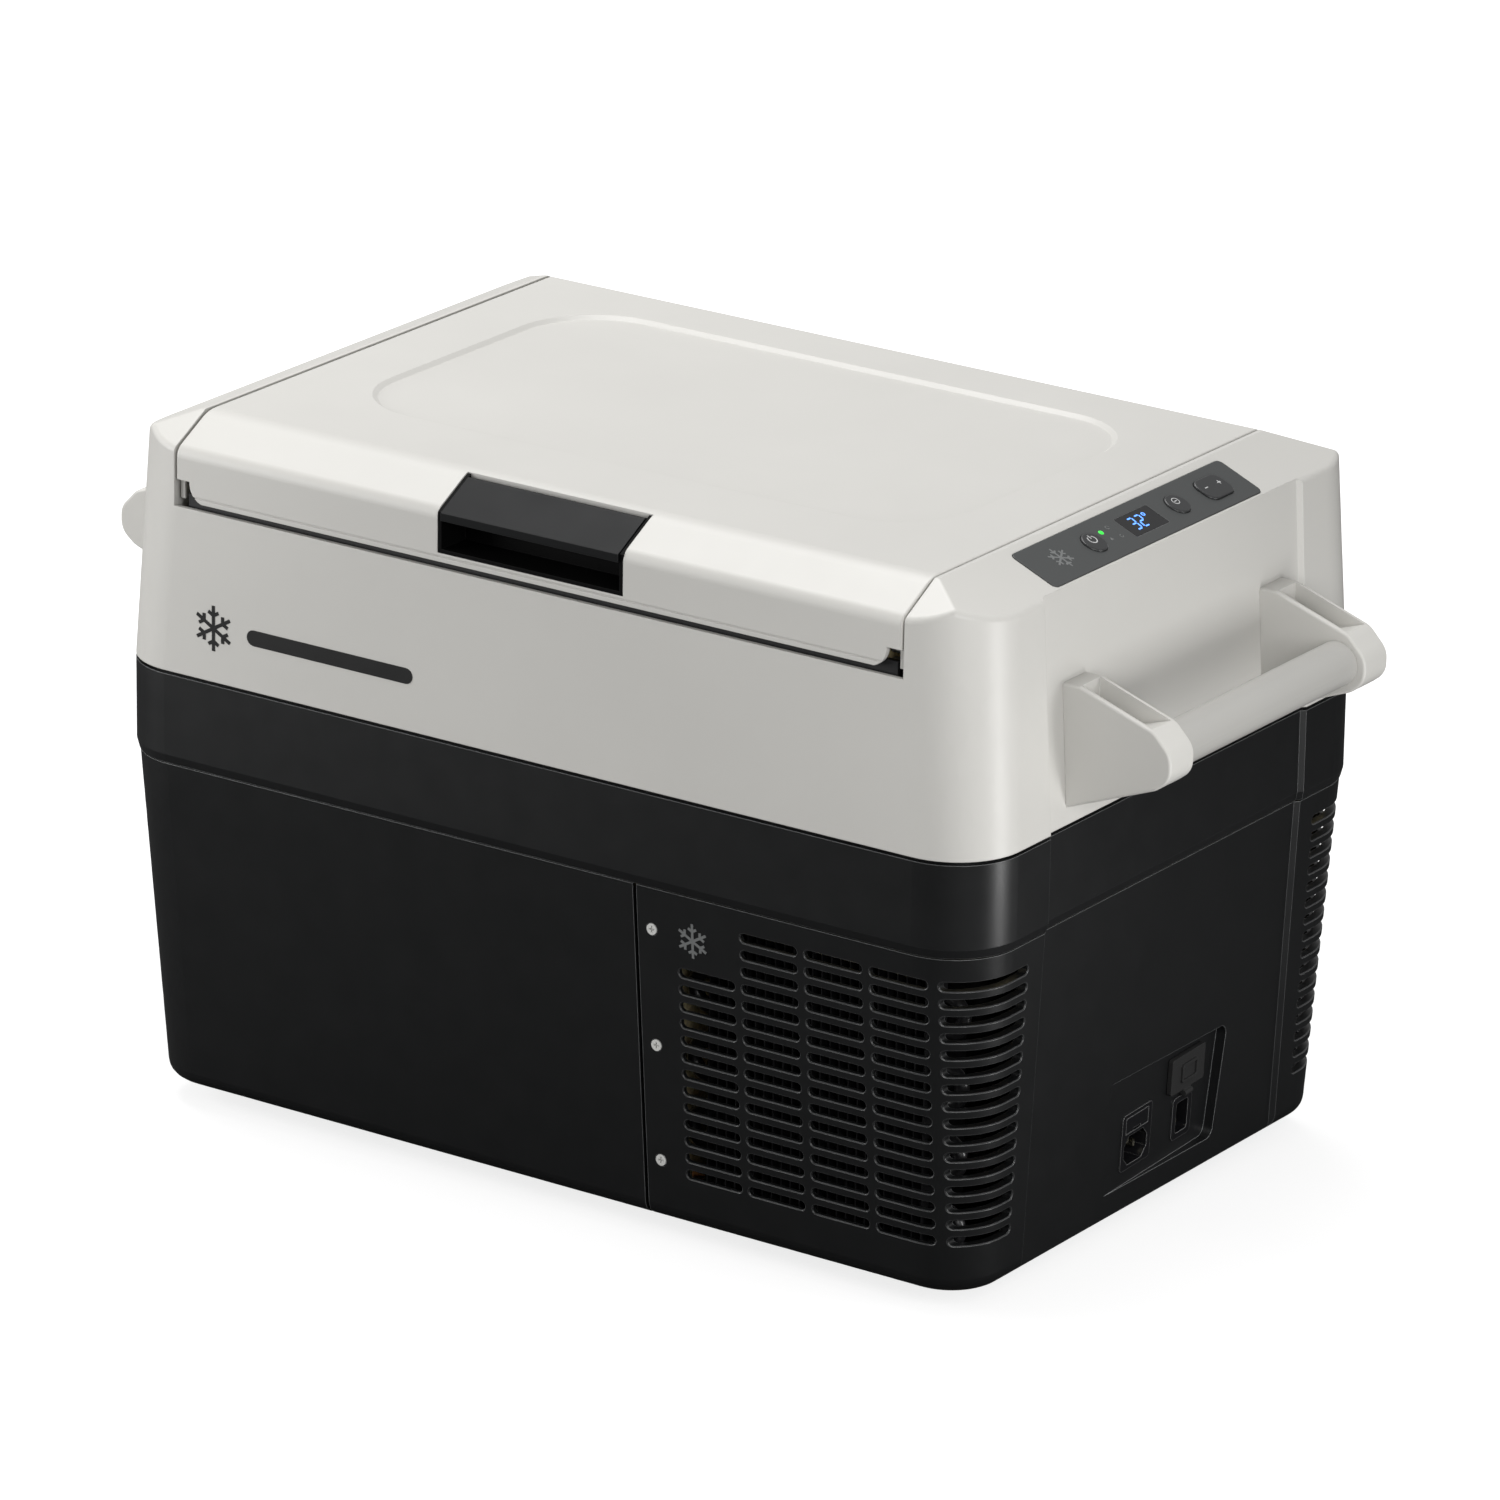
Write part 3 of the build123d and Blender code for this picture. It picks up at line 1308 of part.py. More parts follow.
with BuildPart() as latch_handle:
    with BuildSketch(Plane.YZ) as handle_profile:
        with BuildLine():
            Polyline(
                on_slope(-175.25, 0),
                on_slope(handle_nose_y, 0),
                (handle_nose_y, 386.5),
                (handle_nose_y + 3.5, 386.5),
                on_slope(-194.5, handle_plate),
                on_slope(-177.0, handle_plate),
                close=True,
            )
        make_face()
        nose_corners = handle_profile.vertices().filter_by_position(Axis.Y, -200, handle_nose_y + 0.1)
        fillet(nose_corners, radius=1.4)
        with Locations(latch_pivot):
            Circle(latch_barrel_radius)
    extrude(amount=latch_half_width, both=True)
    with BuildSketch(Plane.YZ):
        with Locations(latch_pivot):
            Circle(latch_pin_radius + running_clearance)
    extrude(amount=latch_half_width + 5, both=True, mode=Mode.SUBTRACT)
    # room for the spring
    with BuildSketch(Plane.YZ):
        with Locations(latch_pivot):
            Circle(2.4)
    extrude(amount=6, both=True, mode=Mode.SUBTRACT)
latch_handle.part.label = "latch_handle"
export_step(latch_handle.part, "parts/latch_handle.step")

with BuildPart() as latch_pin:
    with BuildSketch(Plane.YZ):
        with Locations(latch_pivot):
            Circle(latch_pin_radius)
    extrude(amount=cup_half_width - 0.1, both=True)
latch_pin.part.label = "latch_pin"
export_step(latch_pin.part, "parts/latch_pin.step")

with BuildPart() as latch_spring:
    with BuildLine():
        coil = Helix(pitch=1.0, height=8, radius=1.85, center=(-4, *latch_pivot), direction=(1, 0, 0))
    with BuildSketch(Plane(origin=coil @ 0, z_dir=coil % 0)):
        Circle(0.3)
    sweep(path=coil)
latch_spring.part.label = "latch_spring"
export_step(latch_spring.part, "parts/latch_spring.step")

with BuildPart() as latch_catch:
    with BuildSketch(Plane.YZ):
        with BuildLine():
            Polyline(
                (-189.6, 365.6),
                (-189.6, 364.4),
                (-187.6, 362.6),
                (-172, 362.6),
                (-172, 367.4),
                (-189.0, 367.4),
                close=True,
            )
        make_face()
    extrude(amount=20, both=True)
latch_catch.part.label = "latch_catch"
export_step(latch_catch.part, "parts/latch_catch.step")

# ---------------------------------------------------------------------------
# Baskets with folding bails
# ---------------------------------------------------------------------------
basket_half_width = 158.0
basket_rim_z = 278.0
main_basket_x = (-214.0, 40.0)
main_basket_floor_z = well_floor_z + 1.35
small_basket_x = (60.0, 214.0)
small_basket_floor_z = shelf_floor_z + 1.35
rim_wire = 2.2
mesh_wire = 1.3
bail_wire = 1.8
bail_arm = 45.0
bail_half_width = 150.0
bail_axis_z = basket_rim_z + 5.0


def wire_basket(x_range, floor_z, hoops, across_count, along_count):
    """Welded wire basket: rim, hoops, U-shaped wires both ways and two bail lugs."""
    length = x_range[1] - x_range[0]
    mid_x = (x_range[0] + x_range[1]) / 2
    inner_half_x = length / 2 - rim_wire - mesh_wire + 0.8
    inner_half_y = basket_half_width - rim_wire - mesh_wire + 0.8
    with BuildSketch() as hoop_area:
        with Locations((mid_x, 0)):
            RectangleRounded(length, 2 * basket_half_width, 22)
    hoop_wire = hoop_area.wires()[0]
    with BuildPart() as basket:
        for z, radius in ((basket_rim_z, rim_wire), *[(z, rim_wire - 0.4) for z in hoops]):
            hoop = hoop_wire.moved(Location((0, 0, z)))
            with BuildSketch(Plane(origin=hoop @ 0, z_dir=hoop % 0)):
                Circle(radius)
            sweep(path=hoop)
        spacing_x = (length - 60) / (across_count - 1)
        for k in range(across_count):
            x = x_range[0] + 30 + k * spacing_x
            with BuildLine(Plane.YZ.offset(x)) as across_path:
                FilletPolyline(
                    (-inner_half_y, basket_rim_z),
                    (-inner_half_y, floor_z),
                    (inner_half_y, floor_z),
                    (inner_half_y, basket_rim_z),
                    radius=8,
                )
            with BuildSketch(Plane.XY.offset(basket_rim_z)):
                with Locations((x, -inner_half_y)):
                    Circle(mesh_wire)
            sweep(path=across_path.wires()[0])
        spacing_y = (2 * basket_half_width - 60) / (along_count - 1)
        for k in range(along_count):
            y = -basket_half_width + 30 + k * spacing_y
            with BuildLine(across(y)) as along_path:
                FilletPolyline(
                    (mid_x - inner_half_x, basket_rim_z),
                    (mid_x - inner_half_x, floor_z + 2.1),
                    (mid_x + inner_half_x, floor_z + 2.1),
                    (mid_x + inner_half_x, basket_rim_z),
                    radius=8,
                )
            with BuildSketch(Plane.XY.offset(basket_rim_z)):
                with Locations((mid_x - inner_half_x, y)):
                    Circle(mesh_wire)
            sweep(path=along_path.wires()[0])
        # lugs that carry the bail
        for side in (-1, 1):
            with BuildSketch(across(side * (basket_half_width + rim_wire))):
                with Locations((mid_x, bail_axis_z)):
                    Circle(1.4)
            extrude(amount=side * 10)
            with Locations((mid_x, side * basket_half_width, basket_rim_z + 2.5)):
                Box(6, 3, 8)
    return basket.part


def basket_bail(x_range):
    """Folding wire bail, lying flat towards -X, with an eye at each end."""
    mid_x = (x_range[0] + x_range[1]) / 2
    with BuildPart() as bail:
        with BuildLine(Plane.XY.offset(bail_axis_z)) as bail_path:
            bend = FilletPolyline(
                (mid_x - 4, -bail_half_width - 1.5),
                (mid_x - bail_arm, -bail_half_width - 1.5),
                (mid_x - bail_arm, bail_half_width + 1.5),
                (mid_x - 4, bail_half_width + 1.5),
                radius=12,
            )
        with BuildSketch(Plane(origin=bend @ 0, z_dir=bend % 0)):
            Circle(bail_wire)
        sweep(path=bail_path.wires()[0])
        for side in (-1, 1):
            with BuildSketch(across(side * bail_half_width)):
                with Locations((mid_x, bail_axis_z)):
                    Circle(4.2)
            extrude(amount=-side * 3)
            with BuildSketch(across(side * (bail_half_width - 5))):
                with Locations((mid_x, bail_axis_z)):
                    Circle(1.4 + running_clearance)
            extrude(amount=-side * 15, mode=Mode.SUBTRACT)
    return bail.part


with BuildPart() as main_basket:
    add(wire_basket(main_basket_x, main_basket_floor_z, (60, 130, 205), 8, 9))
main_basket.part.label = "main_basket"
export_step(main_basket.part, "parts/main_basket.step")

with BuildPart() as main_bail:
    add(basket_bail(main_basket_x))
main_bail.part.label = "main_bail"
export_step(main_bail.part, "parts/main_bail.step")

with BuildPart() as small_basket:
    add(wire_basket(small_basket_x, small_basket_floor_z, (243,), 5, 9))
small_basket.part.label = "small_basket"
export_step(small_basket.part, "parts/small_basket.step")

with BuildPart() as small_bail:
    add(basket_bail(small_basket_x))
small_bail.part.label = "small_bail"
export_step(small_bail.part, "parts/small_bail.step")

# ---------------------------------------------------------------------------
# Feet
# ---------------------------------------------------------------------------
foot_places = [(x, y) for x in (-215, 215) for y in (-130, 130)]

with BuildPart() as feet:
    for place in foot_places:
        with BuildSketch(Plane.XY):
            with Locations(place):
                Circle(14)
        with BuildSketch(Plane.XY.offset(foot_height)):
            with Locations(place):
                Circle(17)
        loft()
    with Locations(*[(x, y, 0) for x, y in foot_places]):
        Cylinder(5.2, 10, mode=Mode.SUBTRACT)
        Cylinder(2.2, 40, mode=Mode.SUBTRACT)
feet.part.label = "feet"
export_step(feet.part, "parts/feet.step")

with BuildPart() as foot_screws:
    with Locations(*[(x, y, 0) for x, y in foot_places]):
        with Locations((0, 0, 3.6)):
            Cylinder(4.4, 2.6)
        with Locations((0, 0, 4)):
            Cylinder(2.0, 11.0, align=(Align.CENTER, Align.CENTER, Align.MIN))
        with Locations((0, 0, 2)):
            Box(5.2, 1.1, 2.4, mode=Mode.SUBTRACT)
            Box(1.1, 5.2, 2.4, mode=Mode.SUBTRACT)
foot_screws.part.label = "foot_screws"
export_step(foot_screws.part, "parts/foot_screws.step")

# ---------------------------------------------------------------------------
# Refrigeration unit in the compressor compartment
# ---------------------------------------------------------------------------
base_plate_z = (24.0, 26.0)
mount_places = [(compressor_centre[0] + x, compressor_centre[1] + y) for x in (-50, 50) for y in (-50, 50)]
can_radius = 50.0
can_top_z = 138.0
seam_flange_z = 88.0

with BuildPart() as compressor_base:
    with BuildSketch(Plane.XY.offset(base_plate_z[0])):
        with Locations(compressor_centre):
            RectangleRounded(124, 124, 10)
    extrude(amount=base_plate_z[1] - base_plate_z[0])
    with Locations(*[(x, y, base_plate_z[0]) for x, y in mount_places]):
        Cylinder(5.05, 10, mode=Mode.SUBTRACT)
compressor_base.part.label = "compressor_base"
export_step(compressor_base.part, "parts/compressor_base.step")

with BuildPart() as grommet:
    with BuildSketch(Plane.XZ):
        with BuildLine():
            Polyline(
                (2.7, floor_plate_z + 0.1),
                (9, floor_plate_z + 0.1),
                (9, base_plate_z[0]),
                (5, base_plate_z[0]),
                (5, base_plate_z[1]),
                (8, base_plate_z[1]),
                (8, 31),
                (2.7, 31),
                close=True,
            )
        make_face()
    revolve(axis=Axis.Z)

with BuildPart() as grommets:
    with Locations(*[(x, y, 0) for x, y in mount_places]):
        add(grommet.part)
grommets.part.label = "grommets"
export_step(grommets.part, "parts/grommets.step")

with BuildPart() as compressor_bolts:
    with Locations(*[(x, y, floor_plate_z + 0.1) for x, y in mount_places]):
        Cylinder(2.5, 18, align=(Align.CENTER, Align.CENTER, Align.MIN))
    with BuildSketch(Plane.XY.offset(31.1)):
        with Locations(*mount_places):
            RegularPolygon(radius=5, side_count=6)
    extrude(amount=4)
compressor_bolts.part.label = "compressor_bolts"
export_step(compressor_bolts.part, "parts/compressor_bolts.step")

with BuildPart() as compressor:
    with BuildSketch(Plane.XY.offset(base_plate_z[1] + 0.1)):
        with Locations(compressor_centre):
            Circle(can_radius - 8)
    extrude(amount=20)
    with BuildSketch(Plane.XY.offset(34)):
        with Locations(compressor_centre):
            Circle(can_radius)
    extrude(amount=can_top_z - 34)
    fillet(compressor.edges().sort_by(Axis.Z)[-1], radius=26)
    with BuildSketch(Plane.XY.offset(seam_flange_z)):
        with Locations(compressor_centre):
            Circle(can_radius + 3)
    extrude(amount=4)
    # terminal cover on the side
    with Locations((compressor_centre[0] + can_radius + 4, compressor_centre[1], 64)):
        Box(24, 36, 40)
compressor.part.label = "compressor"
export_step(compressor.part, "parts/compressor.step")

coil_y = -166.0
coil_radius = 4.0
coil_x = (98.0, 250.0)
coil_z = [36.0 + 20.0 * row for row in range(8)]

with BuildPart() as condenser_coil:
    with BuildLine(across(coil_y)) as coil_path:
        for row, z in enumerate(coil_z):
            ends = coil_x if row % 2 == 0 else coil_x[::-1]
            Line((ends[0], z), (ends[1], z))
            if row < len(coil_z) - 1:
                bulge = 10 if row % 2 == 0 else -10
                ThreePointArc((ends[1], z), (ends[1] + bulge, z + 10), (ends[1], z + 20))
    with BuildSketch(Plane(origin=(coil_x[0], coil_y, coil_z[0]), z_dir=(1, 0, 0))):
        Circle(coil_radius)
    sweep(path=coil_path.wires()[0])
condenser_coil.part.label = "condenser_coil"
export_step(condenser_coil.part, "parts/condenser_coil.step")

with BuildPart() as condenser_fins:
    for k in range(24):
        with BuildSketch(Plane.YZ.offset(104 + 6 * k)):
            with Locations((coil_y, (coil_z[0] + coil_z[-1]) / 2)):
                Rectangle(20, 164)
            with Locations(*[(coil_y, z) for z in coil_z]):
                Circle(coil_radius + 0.1, mode=Mode.SUBTRACT)
        extrude(amount=0.8)
condenser_fins.part.label = "condenser_fins"
export_step(condenser_fins.part, "parts/condenser_fins.step")

fan_front_y = -150.0
fan_depth = 25.0
fan_hub_radius = 20.0
fan_tip_radius = 54.0

with BuildPart() as fan_frame:
    with BuildSketch(across(fan_front_y)):
        with Locations(fan_centre):
            RectangleRounded(fan_size, fan_size, 6)
            Circle(57, mode=Mode.SUBTRACT)
        with Locations(fan_centre):
            with GridLocations(105, 105, 2, 2):
                Circle(2.2, mode=Mode.SUBTRACT)
    extrude(amount=-fan_depth)
    # motor seat carried by four struts behind the rotor
    with BuildSketch(across(fan_front_y + fan_depth - 4)):
        with Locations(fan_centre):
            Circle(fan_hub_radius)
            Rectangle(116, 5, rotation=45)
            Rectangle(116, 5, rotation=-45)
    extrude(amount=-4)
    with BuildSketch(across(fan_front_y + 12)):
        with Locations(fan_centre):
            Circle(3)
    extrude(amount=-10)
fan_frame.part.label = "fan_frame"
export_step(fan_frame.part, "parts/fan_frame.step")

with BuildPart() as fan_rotor:
    with BuildSketch(across(fan_front_y + 2)):
        with Locations(fan_centre):
            Circle(fan_hub_radius)
    extrude(amount=-17)
    with BuildSketch(across(fan_front_y + 10)):
        with Locations(fan_centre):
            Circle(3 + running_clearance)
    extrude(amount=-20, mode=Mode.SUBTRACT)
    for blade in range(7):
        turn = 360 / 7 * blade
        outward = Vector(cos(radians(turn)), 0, sin(radians(turn)))
        sideways = Vector(-sin(radians(turn)), 0, cos(radians(turn)))
        for distance, pitch in ((fan_hub_radius - 2, 42), (fan_tip_radius, 24)):
            chord_dir = sideways * cos(radians(pitch)) + Vector(0, 1, 0) * sin(radians(pitch))
            middle = Vector(fan_centre[0], fan_front_y + 10.5, fan_centre[1]) + outward * distance
            with BuildSketch(Plane(origin=middle, x_dir=chord_dir, z_dir=outward)):
                SlotOverall(18 if distance < 30 else 28, 2.2)
        loft()
fan_rotor.part.label = "fan_rotor"
export_step(fan_rotor.part, "parts/fan_rotor.step")

with BuildPart() as filter_drier:
    with BuildSketch(Plane.XY.offset(70)):
        with Locations((100, -132)):
            Circle(8)
    extrude(amount=60)
    fillet(filter_drier.edges(), radius=3.5)
filter_drier.part.label = "filter_drier"
export_step(filter_drier.part, "parts/filter_drier.step")


def bent_pipe(points, radius, bend):
    """Round tube along a path with rounded bends."""
    with BuildPart() as pipe:
        with BuildLine() as path:
            route = FilletPolyline(*points, radius=bend)
        with BuildSketch(Plane(origin=route @ 0, z_dir=route % 0)):
            Circle(radius)
        sweep(path=path.wires()[0])
    return pipe.part


with BuildPart() as suction_pipe:
    add(
        bent_pipe(
            [
                (140, 25, can_top_z + 0.1),
                (140, 25, pipe_channel[1]),
                (140, pipe_channel[0] - 3, pipe_channel[1]),
                (56, pipe_channel[0] - 3, pipe_channel[1]),
            ],
            3.5,
            14,
        )
    )
suction_pipe.part.label = "suction_pipe"
export_step(suction_pipe.part, "parts/suction_pipe.step")

with BuildPart() as condenser_pipes:
    add(
        bent_pipe(
            [
                (165, 5, can_top_z + 0.1),
                (165, 5, 184),
                (90, 5, 184),
                (90, coil_y, 184),
                (90, coil_y, coil_z[-1]),
                (coil_x[0] - 0.2, coil_y, coil_z[-1]),
            ],
            2.5,
            6,
        )
    )
    # liquid line from the foot of the condenser to the filter drier
    add(
        bent_pipe(
            [
                (coil_x[0] - 0.2, coil_y, coil_z[0]),
                (88, coil_y, coil_z[0]),
                (88, -132, coil_z[0]),
                (100, -132, coil_z[0]),
                (100, -132, 69.8),
            ],
            2.5,
            5,
        )
    )
condenser_pipes.part.label = "condenser_pipes"
export_step(condenser_pipes.part, "parts/condenser_pipes.step")

with BuildPart() as capillary_tube:
    add(
        bent_pipe(
            [
                (100, -132, 130.2),
                (100, -132, 172.5),
                (100, pipe_channel[0] + 2, 172.5),
                (56, pipe_channel[0] + 2, 172.5),
            ],
            1.2,
            8,
        )
    )
capillary_tube.part.label = "capillary_tube"
export_step(capillary_tube.part, "parts/capillary_tube.step")

with BuildPart() as controller_module:
    with Locations((128, 133, floor_plate_z + 0.1)):
        Box(66, 60, 34, align=(Align.CENTER, Align.CENTER, Align.MIN))
    with Locations((128, 133, floor_plate_z + 38)):
        with GridLocations(8, 1, 8, 1):
            Box(2, 54, 8)
controller_module.part.label = "controller_module"
export_step(controller_module.part, "parts/controller_module.step")

with BuildPart() as power_supply:
    with Locations((218, 130, floor_plate_z + 0.1)):
        Box(62, 64, 52, align=(Align.CENTER, Align.CENTER, Align.MIN))
    fillet(power_supply.edges().filter_by(Axis.Z), radius=4)
    with BuildSketch(Plane.XY.offset(floor_plate_z + 50)):
        with Locations((218, 130)):
            with GridLocations(7, 1, 7, 1):
                SlotOverall(44, 2.4, rotation=90)
    extrude(amount=10, mode=Mode.SUBTRACT)
power_supply.part.label = "power_supply"
export_step(power_supply.part, "parts/power_supply.step")

with BuildPart() as wiring_loom:
    add(
        bent_pipe(
            [
                (165, 133, 30),
                (174, 133, 30),
                (174, 133, 110),
                (loom_channel[0], 90, 150),
                (loom_channel[0], loom_channel[1], 170),
                (loom_channel[0], loom_channel[1], 388),
            ],
            2.5,
            6,
        )
    )
wiring_loom.part.label = "wiring_loom"
export_step(wiring_loom.part, "parts/wiring_loom.step")
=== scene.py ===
import json
from math import cos, pi, radians, sin, tan

import bmesh
import bpy
from mathutils import Matrix, Vector


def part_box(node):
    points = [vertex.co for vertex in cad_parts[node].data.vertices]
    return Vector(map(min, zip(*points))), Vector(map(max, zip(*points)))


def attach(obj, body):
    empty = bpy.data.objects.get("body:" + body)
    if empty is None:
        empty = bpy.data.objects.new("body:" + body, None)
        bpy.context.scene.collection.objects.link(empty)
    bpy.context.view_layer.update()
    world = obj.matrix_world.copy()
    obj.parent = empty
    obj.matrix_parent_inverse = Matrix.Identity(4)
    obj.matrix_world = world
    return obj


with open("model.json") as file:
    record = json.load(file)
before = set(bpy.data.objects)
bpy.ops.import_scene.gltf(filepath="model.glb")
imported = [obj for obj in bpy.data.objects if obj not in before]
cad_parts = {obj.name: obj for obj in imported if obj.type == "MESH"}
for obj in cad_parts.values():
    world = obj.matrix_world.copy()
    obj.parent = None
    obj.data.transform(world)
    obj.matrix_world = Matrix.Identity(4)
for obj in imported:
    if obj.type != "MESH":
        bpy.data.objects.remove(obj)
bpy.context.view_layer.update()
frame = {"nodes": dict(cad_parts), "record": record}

MM = 0.001
scene = bpy.context.scene


# ---------------------------------------------------------------------------
# Material building blocks
# ---------------------------------------------------------------------------
class Nodes:
    """Short hand for building one material's node tree."""

    def __init__(self, name):
        self.material = bpy.data.materials.new(name)
        self.material.use_nodes = True
        self.tree = self.material.node_tree
        self.tree.nodes.clear()
        self.output = self.tree.nodes.new("ShaderNodeOutputMaterial")
        self.shader = self.tree.nodes.new("ShaderNodeBsdfPrincipled")
        self.tree.links.new(self.shader.outputs[0], self.output.inputs["Surface"])
        self.coords = self.tree.nodes.new("ShaderNodeTexCoord").outputs["Object"]

    def link(self, source, target):
        self.tree.links.new(source, target)

    def noise(self, scale, detail=3.0, rough=0.5):
        """Fractal noise over the object's own coordinates."""
        node = self.tree.nodes.new("ShaderNodeTexNoise")
        node.inputs["Scale"].default_value = scale
        node.inputs["Detail"].default_value = detail
        node.inputs["Roughness"].default_value = rough
        self.link(self.coords, node.inputs["Vector"])
        return node.outputs["Fac"]

    def math(self, kind, a, b=0.0, clamp=False):
        node = self.tree.nodes.new("ShaderNodeMath")
        node.operation = kind
        node.use_clamp = clamp
        for socket, value in zip(node.inputs, (a, b)):
            if isinstance(value, (int, float)):
                socket.default_value = value
            else:
                self.link(value, socket)
        return node.outputs[0]

    def span(self, value, low, high):
        """Maps 0..1 to low..high."""
        node = self.tree.nodes.new("ShaderNodeMapRange")
        node.inputs["To Min"].default_value = low
        node.inputs["To Max"].default_value = high
        self.link(value, node.inputs["Value"])
        return node.outputs["Result"]

    def mix(self, factor, first, second):
        """Blends two colours, each a socket or an (r, g, b)."""
        node = self.tree.nodes.new("ShaderNodeMix")
        node.data_type = "RGBA"
        self.link(factor, node.inputs["Factor"])
        for socket, value in ((node.inputs[6], first), (node.inputs[7], second)):
            if isinstance(value, tuple):
                socket.default_value = (*value, 1.0)
            else:
                self.link(value, socket)
        return node.outputs[2]

    def bump(self, height, distance, strength=1.0, normal=None):
        node = self.tree.nodes.new("ShaderNodeBump")
        node.inputs["Distance"].default_value = distance
        node.inputs["Strength"].default_value = strength
        self.link(height, node.inputs["Height"])
        if normal is not None:
            self.link(normal, node.inputs["Normal"])
        return node.outputs["Normal"]

    def rounded(self, radius):
        """Normal that softens every edge by radius."""
        node = self.tree.nodes.new("ShaderNodeBevel")
        node.samples = 6
        node.inputs["Radius"].default_value = radius
        return node.outputs["Normal"]

    def edge_mask(self, rounded_normal, gain):
        """1 along edges, 0 on flats."""
        geometry = self.tree.nodes.new("ShaderNodeNewGeometry")
        node = self.tree.nodes.new("ShaderNodeVectorMath")
        node.operation = "DOT_PRODUCT"
        self.link(rounded_normal, node.inputs[0])
        self.link(geometry.outputs["Normal"], node.inputs[1])
        away = self.math("SUBTRACT", 1.0, node.outputs["Value"], clamp=True)
        return self.math("MULTIPLY", away, gain, clamp=True)

    def set(self, name, value):
        socket = self.shader.inputs[name]
        if isinstance(value, (int, float)):
            socket.default_value = value
        elif isinstance(value, tuple):
            socket.default_value = (*value, 1.0)
        else:
            self.link(value, socket)


def shade(color, factor):
    return tuple(min(1.0, channel * factor) for channel in color)


def moulded(name, color, rough, grain=0.02, painted_edge_shading=0.0, soft=0.6, painted_edge_shading_color=None, shine=0.5):
    """Moulded plastic or painted part: fine grain, slow tone change, edges rounded in shading, and
    a painted highlight colour mixed in along the edges.
    """
    m = Nodes(name)
    broad = m.noise(7, 4)
    fine = m.noise(1500, 2, 0.6)
    rounded = m.rounded(soft * MM)
    tone = m.mix(broad, shade(color, 0.95), shade(color, 1.05))
    # Painted highlight: along edges the tone is mixed towards a lighter edge colour that stands in
    # for light caught there; a darker edge colour paints shade instead.
    if painted_edge_shading:
        mask = m.edge_mask(rounded, 3.0)
        mask = m.math("MULTIPLY", mask, painted_edge_shading)
        tone = m.mix(mask, tone, painted_edge_shading_color or shade(color, 2.2))
    m.set("Base Color", tone)
    m.set("Roughness", m.span(m.noise(55, 4), rough - 0.04, rough + 0.05))
    m.set("Specular IOR Level", shine)
    m.set("Normal", m.bump(fine, grain * MM, 0.5, rounded))
    return m.material


def metal(name, color, rough, brushed=(1, 1, 1), scale=400):
    """Metal with fine drawn scratches; brushed stretches them along an axis."""
    m = Nodes(name)
    mapping = m.tree.nodes.new("ShaderNodeMapping")
    mapping.inputs["Scale"].default_value = brushed
    m.link(m.coords, mapping.inputs["Vector"])
    m.coords = mapping.outputs["Vector"]
    streaks = m.noise(scale, 3, 0.7)
    m.set("Base Color", m.mix(m.noise(30, 3), shade(color, 0.85), shade(color, 1.1)))
    m.set("Metallic", 1.0)
    m.set("Roughness", m.span(streaks, rough - 0.07, rough + 0.1))
    m.set("Normal", m.bump(streaks, 0.01 * MM, 0.4, m.rounded(0.25 * MM)))
    return m.material


def glowing(name, color, strength, base=(0.01, 0.01, 0.01)):
    """Lit lens or display segment."""
    m = Nodes(name)
    pulse = m.noise(900, 2)
    m.set("Base Color", base)
    m.set("Roughness", m.span(pulse, 0.15, 0.25))
    m.set("Emission Color", m.mix(pulse, shade(color, 0.9), color))
    m.set("Emission Strength", strength)
    return m.material


def foam_material(name, color):
    """Closed-cell foam with visible cells."""
    m = Nodes(name)
    cells = m.tree.nodes.new("ShaderNodeTexVoronoi")
    cells.inputs["Scale"].default_value = 450
    m.link(m.coords, cells.inputs["Vector"])
    m.set("Base Color", m.mix(cells.outputs["Distance"], shade(color, 0.7), shade(color, 1.1)))
    m.set("Roughness", 0.9)
    m.set("Normal", m.bump(cells.outputs["Distance"], 0.4 * MM, 0.8))
    return m.material


GREY = (0.600, 0.590, 0.560)
BLACK = (0.0062, 0.0066, 0.0070)
